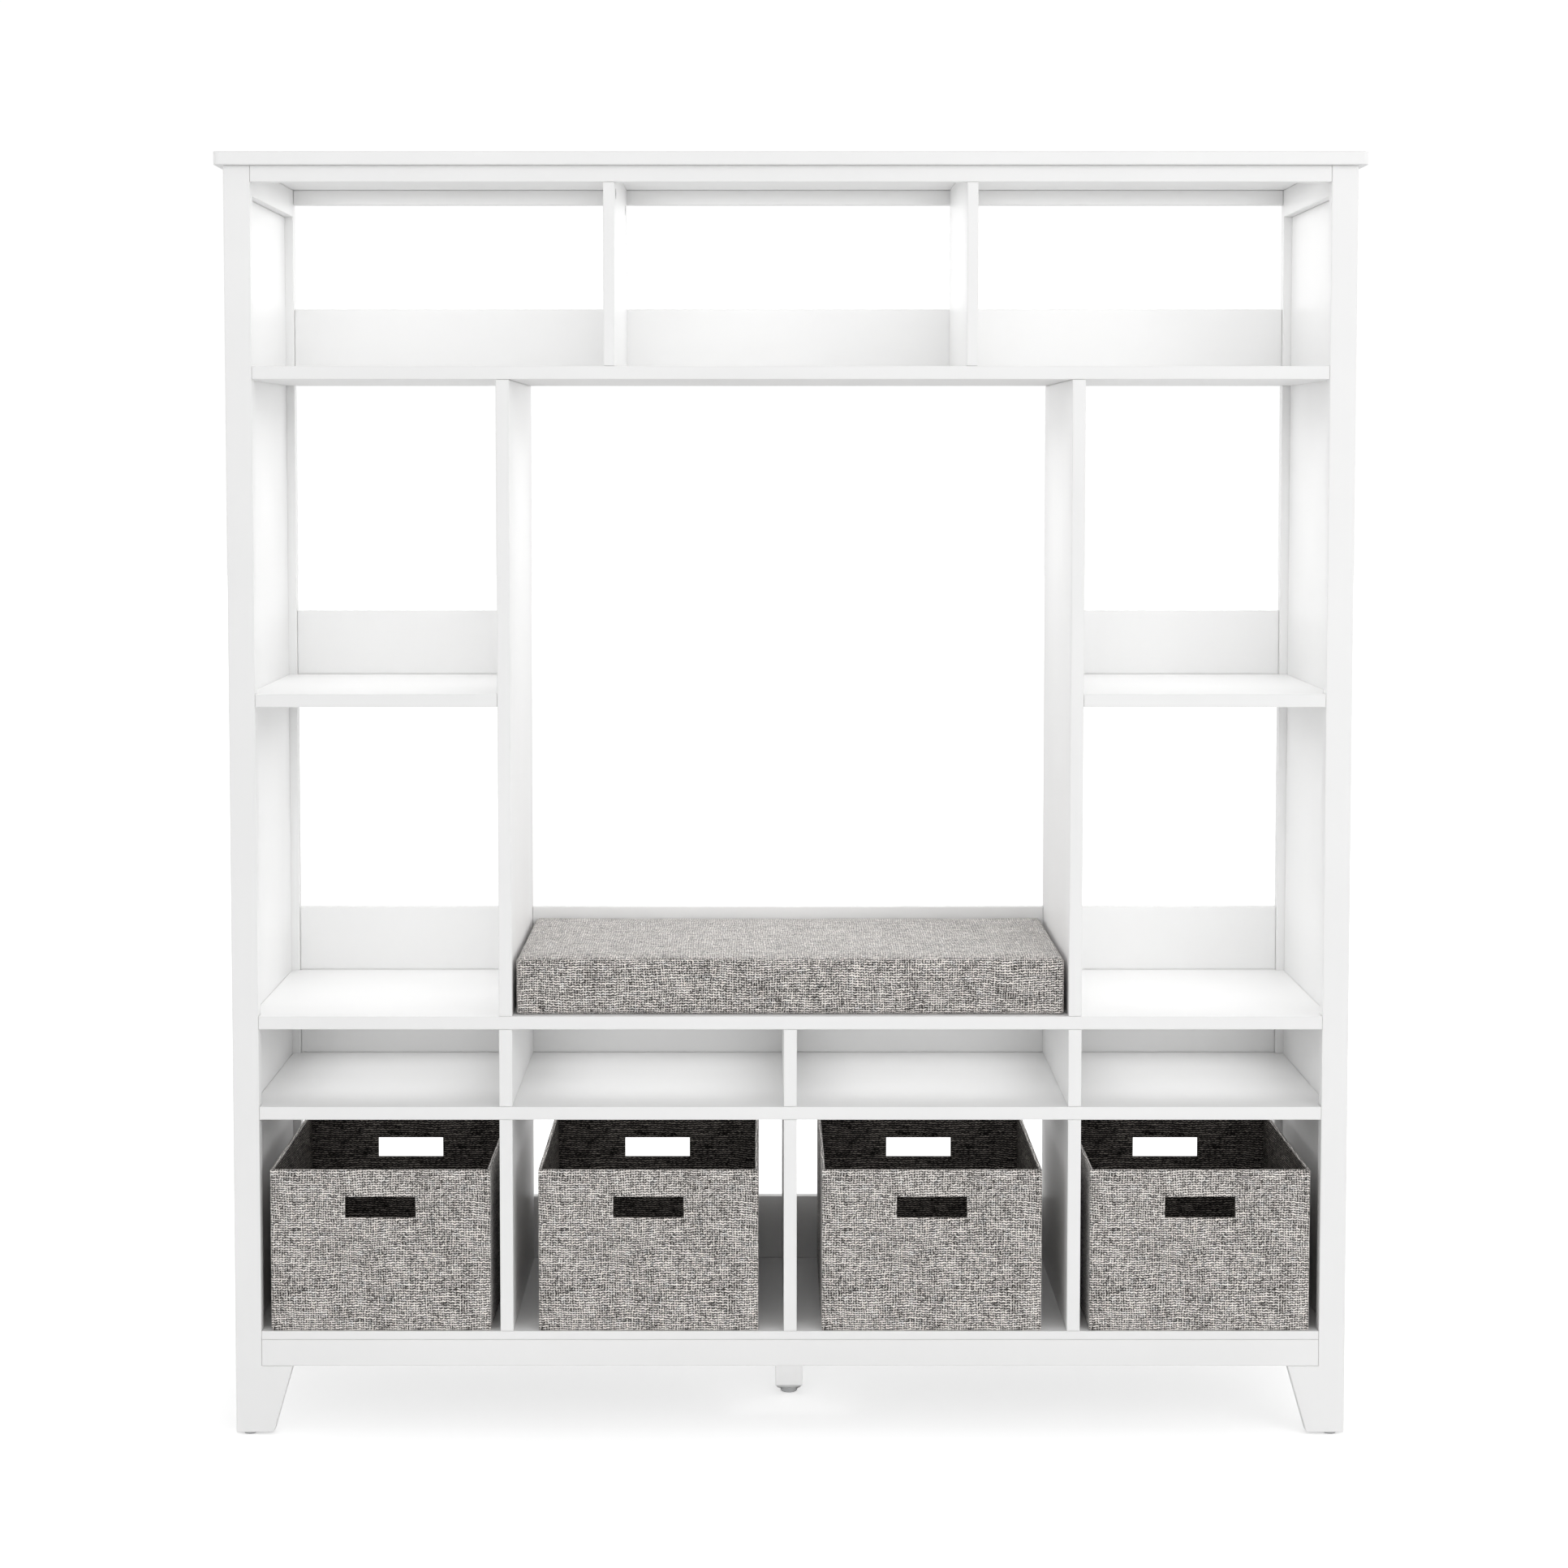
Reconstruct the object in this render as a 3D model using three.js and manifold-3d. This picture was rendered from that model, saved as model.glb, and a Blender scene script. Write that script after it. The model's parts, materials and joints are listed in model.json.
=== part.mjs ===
// Entryway storage bench with open shelving: a knock-down cabinet in white painted board.
// Millimetres, +Z up, front towards -Y, +X to the right as seen from the front.
// The origin is on the floor, under the middle of the whole object's bounding box.
import * as THREE from "three";
import { mergeVertices } from "three/addons/utils/BufferGeometryUtils.js";
import Module from "manifold-3d";

const wasm = await Module();
wasm.setup();

// ---------------------------------------------------------------- driving dimensions

// Overall
const BODY_WIDTH = 1540; // across the outer faces of the posts
const BODY_DEPTH = 400; // front faces of the front posts to rear faces of the rear posts
const HEIGHT = 1770; // floor to the upper face of the top board
const TOP_OVERHANG = 12; // top board past the posts, at both sides and the front
const TOP_CORNER_RADIUS = 8; // front corners of the top board, seen from above
const SEAM = 0.3; // clearance left at every glued, dowelled or loose contact

// Boards
const TOP_THICKNESS = 18;
const SHELF_THICKNESS = 18;
const BOTTOM_SHELF_THICKNESS = 12;
const UPRIGHT_THICKNESS = 18;
const LOWER_DIVIDER_THICKNESS = 18;
const UPPER_DIVIDER_THICKNESS = 15;
const BACK_THICKNESS = 15; // back rails and the closed back of the shoe row
const BACK_RAIL_HEIGHT = 95; // low rail standing at the rear of each shelf

// Side frames
const POST_WIDTH = 36;
const POST_THICKNESS = 22;
const FOOT_TOP_WIDTH = 79; // flared foot, just under the bottom rail
const FOOT_BOTTOM_WIDTH = 52;
const SIDE_TOP_RAIL_HEIGHT = 40;
const PANEL_THICKNESS = 12;
const GROOVE_DEPTH = 6; // the panel's tongue sits in the posts and rails

// Rails under the top board and under the bottom shelf
const APRON_HEIGHT = 22;
const RAIL_THICKNESS = 18;
const BOTTOM_RAIL_HEIGHT = 37;
const FLOOR_CLEARANCE = 97; // floor to the underside of the bottom rails

// Clear heights of the compartments, from the bottom up; the open bay takes what is left
const BIN_ROW_HEIGHT = 297;
const SHOE_ROW_HEIGHT = 108;
const LOWER_SIDE_BAY_HEIGHT = 428;
const UPPER_ROW_HEIGHT = 271;
const SIDE_BAY_WIDTH = 332; // clear, post to upright; the two centre bays share the rest

// Floor hardware
const GLIDE_DIAMETER = 18;
const GLIDE_HEIGHT = 3;
const NAIL_DIAMETER = 2.6;
const NAIL_LENGTH = 13;
const SUPPORT_WIDTH = 40;
const SUPPORT_CHAMFER_WIDTH = 8;
const SUPPORT_CHAMFER_HEIGHT = 6.5;
const LEVELLER_PAD_DIAMETER = 24;
const LEVELLER_PAD_THICKNESS = 7.3;
const LEVELLER_PAD_ROUNDING = 2; // lower edge of the pad
const LEVELLER_STEM_DIAMETER = 8;
const LEVELLER_STEM_LENGTH = 34;

// Cam locks in the upper dividers
const CAM_DIAMETER = 15;
const CAM_LENGTH = 12;
const CAM_DROP = 34; // centre below the top board
const CAM_INSET = 50; // centre in from the divider's front and rear edges
const CAM_SLOT_LENGTH = 9;
const CAM_SLOT_WIDTH = 1.8;
const CAM_SLOT_DEPTH = 1.6;

// Seat cushion
const CUSHION_THICKNESS = 76;
const CUSHION_SIDE_CLEARANCE = 2;
const CUSHION_FRONT_SETBACK = 10;
const CUSHION_REAR_CLEARANCE = 3;
const CUSHION_EDGE = 5; // eased edge all round
const CUSHION_CORNER_RADIUS = 12;

// Storage bins
const BIN_SIDE_CLEARANCE = 13.5;
const BIN_FRONT_SETBACK = 3;
const BIN_REAR_CLEARANCE = 12;
const BIN_HEAD_CLEARANCE = 71; // bin rim to the shelf above
const BIN_WALL = 4.5;
const BIN_INSERT_THICKNESS = 3;
const BIN_INSERT_CLEARANCE = 1;
const HAND_HOLE_WIDTH = 97;
const HAND_HOLE_HEIGHT = 29;
const HAND_HOLE_DROP = 38; // bin rim to the hole

// Roundness and boolean margins
const ROUND_SEGMENTS = 32;
const CORNER_SEGMENTS = 5;
const CUT_MARGIN = 2; // how far a cutting tool runs past the face that it opens

// ---------------------------------------------------------------- places worked out from them

const postOuterX = BODY_WIDTH / 2;
const postInnerX = postOuterX - POST_WIDTH;
const bodyBackY = (BODY_DEPTH + TOP_OVERHANG) / 2;
const bodyFrontY = bodyBackY - BODY_DEPTH;
const bodyMiddleY = (bodyFrontY + bodyBackY) / 2;
const frontPostRearY = bodyFrontY + POST_THICKNESS;
const rearPostFrontY = bodyBackY - POST_THICKNESS;
const backFaceY = bodyBackY - BACK_THICKNESS;

const panelOuterX = postOuterX - (POST_WIDTH - PANEL_THICKNESS) / 2;
const panelInnerX = panelOuterX - PANEL_THICKNESS;
const uprightOuterX = postInnerX - SIDE_BAY_WIDTH;
const uprightInnerX = uprightOuterX - UPRIGHT_THICKNESS;
const lowerDividerX = uprightOuterX - LOWER_DIVIDER_THICKNESS / 2;
const centreBayWidth = lowerDividerX - LOWER_DIVIDER_THICKNESS;

const bottomRailTop = FLOOR_CLEARANCE + BOTTOM_RAIL_HEIGHT;
const bottomShelfTop = bottomRailTop + BOTTOM_SHELF_THICKNESS;
const shoeShelfBottom = bottomShelfTop + BIN_ROW_HEIGHT;
const shoeShelfTop = shoeShelfBottom + SHELF_THICKNESS;
const benchBottom = shoeShelfTop + SHOE_ROW_HEIGHT;
const benchTop = benchBottom + SHELF_THICKNESS;
const midShelfBottom = benchTop + LOWER_SIDE_BAY_HEIGHT;
const midShelfTop = midShelfBottom + SHELF_THICKNESS;
const topUnderside = HEIGHT - TOP_THICKNESS;
const upperShelfTop = topUnderside - UPPER_ROW_HEIGHT;
const upperShelfBottom = upperShelfTop - SHELF_THICKNESS;
const apronBottom = topUnderside - APRON_HEIGHT;
const sideTopRailBottom = topUnderside - SIDE_TOP_RAIL_HEIGHT;
const supportBottom = LEVELLER_PAD_THICKNESS + SEAM;

const upperBayWidth = (2 * postInnerX - 2 * UPPER_DIVIDER_THICKNESS) / 3;
const upperDividerX = (upperBayWidth + UPPER_DIVIDER_THICKNESS) / 2;

const binWidth = Math.min(SIDE_BAY_WIDTH, centreBayWidth) - 2 * BIN_SIDE_CLEARANCE;
const binFrontY = bodyFrontY + BIN_FRONT_SETBACK;
const binBackY = backFaceY - BIN_REAR_CLEARANCE;
const binHeight = BIN_ROW_HEIGHT - BIN_HEAD_CLEARANCE;
const sideBinX = postInnerX - SIDE_BAY_WIDTH / 2;
const centreBinX = (LOWER_DIVIDER_THICKNESS + centreBayWidth) / 2;

const frontFlush = [bodyFrontY, bodyFrontY + RAIL_THICKNESS];
const rearFlush = [bodyBackY - RAIL_THICKNESS, bodyBackY];
const atTheBack = [backFaceY, bodyBackY];
const fullDepth = [bodyFrontY, bodyBackY];

// Spans that stop a seam short of what they meet
const between = (low, high) => [low + SEAM, high - SEAM];
const standingOn = (low, high) => [low + SEAM, high];
const hangingFrom = (low, high) => [low, high - SEAM];
const betweenPosts = between(-postInnerX, postInnerX);

// A span given for the right-hand side, and the same span on the chosen side (+1 or -1)
const onSide = (side, [near, far]) => (side > 0 ? [near, far] : [-far, -near]);
const sides = [
  { word: "left", sign: -1 },
  { word: "right", sign: 1 },
];

// ---------------------------------------------------------------- finishes

const finish = (color, roughness, metalness = 0) => () =>
  new THREE.MeshStandardMaterial({ color, roughness, metalness });
const whitePaint = finish(0xf0f0f0, 0.42);
const greyTweed = finish(0x9a9691, 0.95);
const darkLining = finish(0x35312e, 0.95);
const zincCasting = finish(0x8d9092, 0.4, 0.9);
const greyPlastic = finish(0x6f7173, 0.55);

// ---------------------------------------------------------------- making and cutting solids

const tree = new THREE.Group();

function add(name, geometry, material, [x, y, z] = [0, 0, 0]) {
  const mesh = new THREE.Mesh(geometry, material());
  mesh.name = name;
  mesh.position.set(x, y, z);
  tree.add(mesh);
}

const sizeOf = ([low, high]) => high - low;
const middleOf = ([low, high]) => (low + high) / 2;

// A rectangular block over three spans, with its place in its vertices
function block(x, y, z) {
  const box = new THREE.BoxGeometry(sizeOf(x), sizeOf(y), sizeOf(z));
  return box.translate(middleOf(x), middleOf(y), middleOf(z));
}

function board(name, x, y, z) {
  const box = new THREE.BoxGeometry(sizeOf(x), sizeOf(y), sizeOf(z));
  add(name, box, whitePaint, [middleOf(x), middleOf(y), middleOf(z)]);
}

// A flat outline in X and Y, drawn up over a span of Z
function drawnUp(outline, [low, high]) {
  const settings = { depth: high - low, bevelEnabled: false };
  return new THREE.ExtrudeGeometry(outline, settings).translate(0, 0, low);
}

// A flat outline in X and Z, drawn back over a span of Y
function drawnBack(outline, [front, back]) {
  const settings = { depth: back - front, bevelEnabled: false };
  return new THREE.ExtrudeGeometry(outline, settings).rotateX(Math.PI / 2).translate(0, back, 0);
}

const outlineOf = (corners) => new THREE.Shape(corners.map(([u, v]) => new THREE.Vector2(u, v)));

// A profile of [radius, height] points turned about the vertical axis
function turned(profile) {
  const points = profile.map(([radius, height]) => new THREE.Vector2(radius, height));
  return new THREE.LatheGeometry(points, ROUND_SEGMENTS).rotateX(Math.PI / 2);
}

function solidOf(geometry) {
  const bare = geometry.clone();
  bare.deleteAttribute("normal");
  bare.deleteAttribute("uv");
  const merged = mergeVertices(bare, 1e-3);
  const vertProperties = merged.attributes.position.array;
  const triVerts = new Uint32Array(merged.index.array);
  return new wasm.Manifold(new wasm.Mesh({ numProp: 3, vertProperties, triVerts }));
}

function geometryOf(solid) {
  const { vertProperties, triVerts } = solid.getMesh();
  const geometry = new THREE.BufferGeometry();
  geometry.setAttribute("position", new THREE.BufferAttribute(vertProperties, 3));
  geometry.setIndex(new THREE.BufferAttribute(triVerts, 1));
  return geometry;
}

function cut(geometry, ...tools) {
  const left = tools.reduce((solid, tool) => solid.subtract(solidOf(tool)), solidOf(geometry));
  return geometryOf(left);
}

// ---------------------------------------------------------------- side frames

// Front view of a right-hand post: straight above the bottom rail, flared inwards at the foot
function postOutline(sign) {
  const footTop = FLOOR_CLEARANCE - SEAM;
  const footBottom = GLIDE_HEIGHT + SEAM;
  const top = topUnderside - SEAM;
  const corners = [
    [postOuterX, footBottom],
    [postOuterX, top],
    [postInnerX, top],
    [postInnerX, footTop],
    [postOuterX - FOOT_TOP_WIDTH, footTop],
    [postOuterX - FOOT_BOTTOM_WIDTH, footBottom],
  ];
  return outlineOf(corners.map(([x, z]) => [sign * x, z]));
}

function sideFrame({ word, sign }) {
  const groove = GROOVE_DEPTH + SEAM;
  const panelX = onSide(sign, [panelInnerX, panelOuterX]);
  const grooveX = [panelX[0] - SEAM, panelX[1] + SEAM];
  const grooveZ = [bottomRailTop - groove, sideTopRailBottom + groove];
  const railX = onSide(sign, [postInnerX, postOuterX]);
  const railY = between(frontPostRearY, rearPostFrontY);
  const nailX = sign * (postOuterX - POST_WIDTH / 2);

  const posts = [
    {
      where: "front",
      y: [bodyFrontY, frontPostRearY],
      grooveY: [frontPostRearY - groove, frontPostRearY + CUT_MARGIN],
    },
    {
      where: "rear",
      y: [rearPostFrontY, bodyBackY],
      grooveY: [rearPostFrontY - CUT_MARGIN, rearPostFrontY + groove],
    },
  ];
  for (const { where, y, grooveY } of posts) {
    const nailHole = new THREE.CylinderGeometry(
      NAIL_DIAMETER / 2 + SEAM,
      NAIL_DIAMETER / 2 + SEAM,
      NAIL_LENGTH + CUT_MARGIN + SEAM,
      ROUND_SEGMENTS,
    );
    const holeMiddle = GLIDE_HEIGHT + (NAIL_LENGTH - CUT_MARGIN + SEAM) / 2;
    nailHole.rotateX(Math.PI / 2).translate(nailX, middleOf(y), holeMiddle);
    const post = cut(drawnBack(postOutline(sign), y), block(grooveX, grooveY, grooveZ), nailHole);
    add(`post_${where}_${word}`, post, whitePaint);
    cornerGlide(`corner_glide_${where}_${word}`, [nailX, middleOf(y), 0]);
  }

  const topRail = block(railX, railY, hangingFrom(sideTopRailBottom, topUnderside));
  const topGroove = block(grooveX, [railY[0] - CUT_MARGIN, railY[1] + CUT_MARGIN], [
    sideTopRailBottom - CUT_MARGIN,
    sideTopRailBottom + groove,
  ]);
  add(`side_top_rail_${word}`, cut(topRail, topGroove), whitePaint);

  const bottomRail = block(railX, railY, [FLOOR_CLEARANCE, bottomRailTop]);
  const bottomGroove = block(grooveX, [railY[0] - CUT_MARGIN, railY[1] + CUT_MARGIN], [
    bottomRailTop - groove,
    bottomRailTop + CUT_MARGIN,
  ]);
  add(`side_bottom_rail_${word}`, cut(bottomRail, bottomGroove), whitePaint);

  board(
    `side_panel_${word}`,
    panelX,
    [frontPostRearY - GROOVE_DEPTH, rearPostFrontY + GROOVE_DEPTH],
    [bottomRailTop - GROOVE_DEPTH, sideTopRailBottom + GROOVE_DEPTH],
  );
}

function cornerGlide(name, place) {
  const radius = GLIDE_DIAMETER / 2;
  const nail = NAIL_DIAMETER / 2;
  const rounding = GLIDE_HEIGHT / 3;
  const profile = [
    [0, 0],
    [radius - 2 * rounding, 0],
    [radius, rounding],
    [radius, GLIDE_HEIGHT],
    [nail, GLIDE_HEIGHT],
    [nail, GLIDE_HEIGHT + NAIL_LENGTH - 2 * nail],
    [0, GLIDE_HEIGHT + NAIL_LENGTH],
  ];
  add(name, turned(profile), greyPlastic, place);
}

// ---------------------------------------------------------------- shelves

// A shelf as deep as the body, flush with the posts and notched round those at its outer ends.
// Each end is "panel" where it reaches a side panel past the posts, or an x where it stops.
function shelf(name, leftEnd, rightEnd, z) {
  const frontNotch = frontPostRearY + SEAM;
  const rearNotch = rearPostFrontY - SEAM;
  const endCorners = (sign, end) => {
    if (end !== "panel") {
      return [
        [end, bodyFrontY],
        [end, bodyBackY],
      ];
    }
    const wide = sign * (panelInnerX - SEAM);
    const narrow = sign * (postInnerX - SEAM);
    return [
      [narrow, bodyFrontY],
      [narrow, frontNotch],
      [wide, frontNotch],
      [wide, rearNotch],
      [narrow, rearNotch],
      [narrow, bodyBackY],
    ];
  };
  const corners = [...endCorners(1, rightEnd), ...endCorners(-1, leftEnd).reverse()];
  add(name, drawnUp(outlineOf(corners), z), whitePaint);
}

function shelves() {
  const midShelf = [midShelfBottom, midShelfTop];
  shelf("upper_shelf", "panel", "panel", [upperShelfBottom, upperShelfTop]);
  shelf("mid_shelf_left", "panel", -uprightOuterX - SEAM, midShelf);
  shelf("mid_shelf_right", uprightOuterX + SEAM, "panel", midShelf);
  shelf("bench_top", "panel", "panel", [benchBottom, benchTop]);
  shelf("shoe_shelf", "panel", "panel", [shoeShelfBottom, shoeShelfTop]);
  shelf("bottom_shelf", "panel", "panel", standingOn(bottomRailTop, bottomShelfTop));
}

function topBoard() {
  const halfWidth = postOuterX + TOP_OVERHANG;
  const front = bodyFrontY - TOP_OVERHANG;
  const radius = TOP_CORNER_RADIUS;
  const outline = new THREE.Shape();
  outline.moveTo(-halfWidth, bodyBackY);
  outline.lineTo(-halfWidth, front + radius);
  outline.absarc(-halfWidth + radius, front + radius, radius, Math.PI, 1.5 * Math.PI);
  outline.lineTo(halfWidth - radius, front);
  outline.absarc(halfWidth - radius, front + radius, radius, 1.5 * Math.PI, 2 * Math.PI);
  outline.lineTo(halfWidth, bodyBackY);
  add("top_board", drawnUp(outline, [topUnderside, HEIGHT]), whitePaint);
}

// ---------------------------------------------------------------- rails and backs

function rails() {
  board("front_apron", betweenPosts, frontFlush, hangingFrom(apronBottom, topUnderside));
  board("top_back_rail", betweenPosts, atTheBack, hangingFrom(apronBottom, topUnderside));
  board("front_bottom_rail", betweenPosts, frontFlush, [FLOOR_CLEARANCE, bottomRailTop]);
  board("rear_bottom_rail", betweenPosts, rearFlush, [FLOOR_CLEARANCE, bottomRailTop]);
  board("shoe_back_panel", betweenPosts, atTheBack, between(shoeShelfTop, benchBottom));
}

function backRails() {
  const rail = (name, x, shelfTop) =>
    board(name, x, atTheBack, standingOn(shelfTop, shelfTop + BACK_RAIL_HEIGHT));
  rail("upper_back_rail", betweenPosts, upperShelfTop);
  rail("bench_back_rail_centre", between(-uprightInnerX, uprightInnerX), benchTop);
  rail("bottom_back_rail", betweenPosts, bottomShelfTop);
  for (const { word, sign } of sides) {
    const sideBay = onSide(sign, between(uprightOuterX, postInnerX));
    rail(`mid_back_rail_${word}`, sideBay, midShelfTop);
    rail(`bench_back_rail_${word}`, sideBay, benchTop);
  }
}

// ---------------------------------------------------------------- uprights and dividers

function uprights() {
  for (const { word, sign } of sides) {
    const x = onSide(sign, [uprightInnerX, uprightOuterX]);
    board(`upright_${word}`, x, fullDepth, between(benchTop, upperShelfBottom));
  }
}

function lowerDividers() {
  const places = [
    ["left", -lowerDividerX],
    ["centre", 0],
    ["right", lowerDividerX],
  ];
  const y = hangingFrom(bodyFrontY, backFaceY);
  for (const [word, x] of places) {
    const span = [x - LOWER_DIVIDER_THICKNESS / 2, x + LOWER_DIVIDER_THICKNESS / 2];
    board(`shoe_divider_${word}`, span, y, between(shoeShelfTop, benchBottom));
    board(`bin_divider_${word}`, span, y, between(bottomShelfTop, shoeShelfBottom));
  }
}

// A cylinder lying along X
function rodAlongX(diameter, [left, right], y, z) {
  const rod = new THREE.CylinderGeometry(diameter / 2, diameter / 2, right - left, ROUND_SEGMENTS);
  return rod.rotateZ(Math.PI / 2).translate((left + right) / 2, y, z);
}

// Upper dividers, notched round the apron, with two cam locks let into the right-hand face
function upperDividers() {
  const y = hangingFrom(bodyFrontY, backFaceY);
  const camZ = topUnderside - CAM_DROP;
  const cams = [
    ["front", y[0] + CAM_INSET],
    ["rear", y[1] - CAM_INSET],
  ];
  for (const { word, sign } of sides) {
    const middle = sign * upperDividerX;
    const x = [middle - UPPER_DIVIDER_THICKNESS / 2, middle + UPPER_DIVIDER_THICKNESS / 2];
    const notch = block(
      [x[0] - CUT_MARGIN, x[1] + CUT_MARGIN],
      [frontFlush[0] - CUT_MARGIN, frontFlush[1] + SEAM],
      [apronBottom - SEAM, topUnderside + CUT_MARGIN],
    );
    const bores = cams.map(([, camY]) => {
      const reach = [x[1] - CAM_LENGTH - SEAM, x[1] + CUT_MARGIN];
      return rodAlongX(CAM_DIAMETER + 2 * SEAM, reach, camY, camZ);
    });
    const slab = block(x, y, between(upperShelfTop, topUnderside));
    add(`upper_divider_${word}`, cut(slab, notch, ...bores), whitePaint);
    for (const [where, camY] of cams) camLock(`cam_lock_${where}_${word}`, x[1], camY, camZ);
  }
}

function camLock(name, faceX, y, z) {
  const body = rodAlongX(CAM_DIAMETER, [faceX - CAM_LENGTH, faceX], y, z);
  const depth = [faceX - CAM_SLOT_DEPTH, faceX + CUT_MARGIN];
  const long = (middle) => [middle - CAM_SLOT_LENGTH / 2, middle + CAM_SLOT_LENGTH / 2];
  const narrow = (middle) => [middle - CAM_SLOT_WIDTH / 2, middle + CAM_SLOT_WIDTH / 2];
  const crossSlot = [block(depth, long(y), narrow(z)), block(depth, narrow(y), long(z))];
  add(name, cut(body, ...crossSlot), zincCasting);
}

// ---------------------------------------------------------------- centre support

// A square block with its lower edges chamfered on all four sides, bored for the leveller's stem
function centreSupport() {
  const half = SUPPORT_WIDTH / 2;
  const toe = half - SUPPORT_CHAMFER_WIDTH;
  const shoulder = supportBottom + SUPPORT_CHAMFER_HEIGHT;
  const outline = outlineOf([
    [-toe, supportBottom],
    [toe, supportBottom],
    [half, shoulder],
    [half, bottomRailTop],
    [-half, bottomRailTop],
    [-half, shoulder],
  ]);
  const frontView = drawnBack(outline, [-half, half]);
  const sideView = drawnBack(outline, [-half, half]).rotateZ(Math.PI / 2);
  const boreRadius = LEVELLER_STEM_DIAMETER / 2 + SEAM;
  const boreTop = supportBottom + LEVELLER_STEM_LENGTH + SEAM;
  const boreSpan = [supportBottom - CUT_MARGIN, boreTop];
  const bore = new THREE.CylinderGeometry(boreRadius, boreRadius, sizeOf(boreSpan), ROUND_SEGMENTS);
  bore.rotateX(Math.PI / 2).translate(0, 0, middleOf(boreSpan));
  const solid = solidOf(frontView).intersect(solidOf(sideView)).subtract(solidOf(bore));
  add("centre_support", geometryOf(solid), whitePaint, [0, bodyMiddleY, 0]);
}

function centreLeveller() {
  const pad = LEVELLER_PAD_DIAMETER / 2;
  const stem = LEVELLER_STEM_DIAMETER / 2;
  const stemTop = LEVELLER_PAD_THICKNESS + LEVELLER_STEM_LENGTH;
  const profile = [
    [0, 0],
    [pad - LEVELLER_PAD_ROUNDING, 0],
    [pad, LEVELLER_PAD_ROUNDING],
    [pad, LEVELLER_PAD_THICKNESS],
    [stem, LEVELLER_PAD_THICKNESS],
    [stem, stemTop],
    [0, stemTop],
  ];
  add("centre_leveller", turned(profile), greyPlastic, [0, bodyMiddleY, 0]);
}

// ---------------------------------------------------------------- soft goods

// A rectangle with rounded corners
function roundedRectangle([left, right], [front, back], radius) {
  const outline = new THREE.Shape();
  const corners = [
    [right - radius, front + radius, -0.5],
    [right - radius, back - radius, 0],
    [left + radius, back - radius, 0.5],
    [left + radius, front + radius, 1],
  ];
  for (const [x, y, turn] of corners) {
    outline.absarc(x, y, radius, turn * Math.PI, (turn + 0.5) * Math.PI);
  }
  return outline;
}

function cushion() {
  const x = [CUSHION_SIDE_CLEARANCE - uprightInnerX, uprightInnerX - CUSHION_SIDE_CLEARANCE];
  const y = [bodyFrontY + CUSHION_FRONT_SETBACK, backFaceY - CUSHION_REAR_CLEARANCE];
  const z = standingOn(benchTop, benchTop + CUSHION_THICKNESS);
  const inset = ([low, high]) => [low + CUSHION_EDGE, high - CUSHION_EDGE];
  const outline = roundedRectangle(inset(x), inset(y), CUSHION_CORNER_RADIUS - CUSHION_EDGE);
  const pad = new THREE.ExtrudeGeometry(outline, {
    depth: sizeOf(z) - 2 * CUSHION_EDGE,
    bevelThickness: CUSHION_EDGE,
    bevelSize: CUSHION_EDGE,
    bevelSegments: 2,
    curveSegments: CORNER_SEGMENTS,
  });
  add("cushion", pad, greyTweed, [0, 0, z[0] + CUSHION_EDGE]);
}

// An open fabric-covered box with a hand hole in its front and back, and a loose base insert
function bin(number, middleX) {
  const x = [middleX - binWidth / 2, middleX + binWidth / 2];
  const y = [binFrontY, binBackY];
  const z = [bottomShelfTop + SEAM, bottomShelfTop + SEAM + binHeight];
  const inner = ([low, high]) => [low + BIN_WALL, high - BIN_WALL];
  const floorTop = z[0] + BIN_WALL;
  const hollow = block(inner(x), inner(y), [floorTop, z[1] + CUT_MARGIN]);
  const handHoles = block(
    [middleX - HAND_HOLE_WIDTH / 2, middleX + HAND_HOLE_WIDTH / 2],
    [y[0] - CUT_MARGIN, y[1] + CUT_MARGIN],
    [z[1] - HAND_HOLE_DROP - HAND_HOLE_HEIGHT, z[1] - HAND_HOLE_DROP],
  );
  add(`bin_${number}_shell`, cut(block(x, y, z), hollow, handHoles), greyTweed);

  const loose = ([low, high]) => [low + BIN_INSERT_CLEARANCE, high - BIN_INSERT_CLEARANCE];
  const insertZ = standingOn(floorTop, floorTop + BIN_INSERT_THICKNESS);
  add(`bin_${number}_insert`, block(loose(inner(x)), loose(inner(y)), insertZ), darkLining);
}

// ---------------------------------------------------------------- the whole object

for (const side of sides) sideFrame(side);
topBoard();
rails();
shelves();
backRails();
uprights();
upperDividers();
lowerDividers();
centreSupport();
centreLeveller();
cushion();
[-sideBinX, -centreBinX, centreBinX, sideBinX].forEach((x, index) => bin(index + 1, x));

export default tree;
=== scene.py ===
"""The finished look of a white entryway bench with open shelving, a seat cushion and four bins.

Metres, +Z up, front towards -Y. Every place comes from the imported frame: a piece is drawn in the box
of the CAD node that it stands for, and rides that node's body. Boards, bins, the cushion and the
turned plastic parts are surfaces worked out as whole arrays; the cam locks keep their CAD solids.
"""

import json
import logging
import math
from dataclasses import dataclass, field
from enum import Enum
from typing import Callable, Sequence

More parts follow.
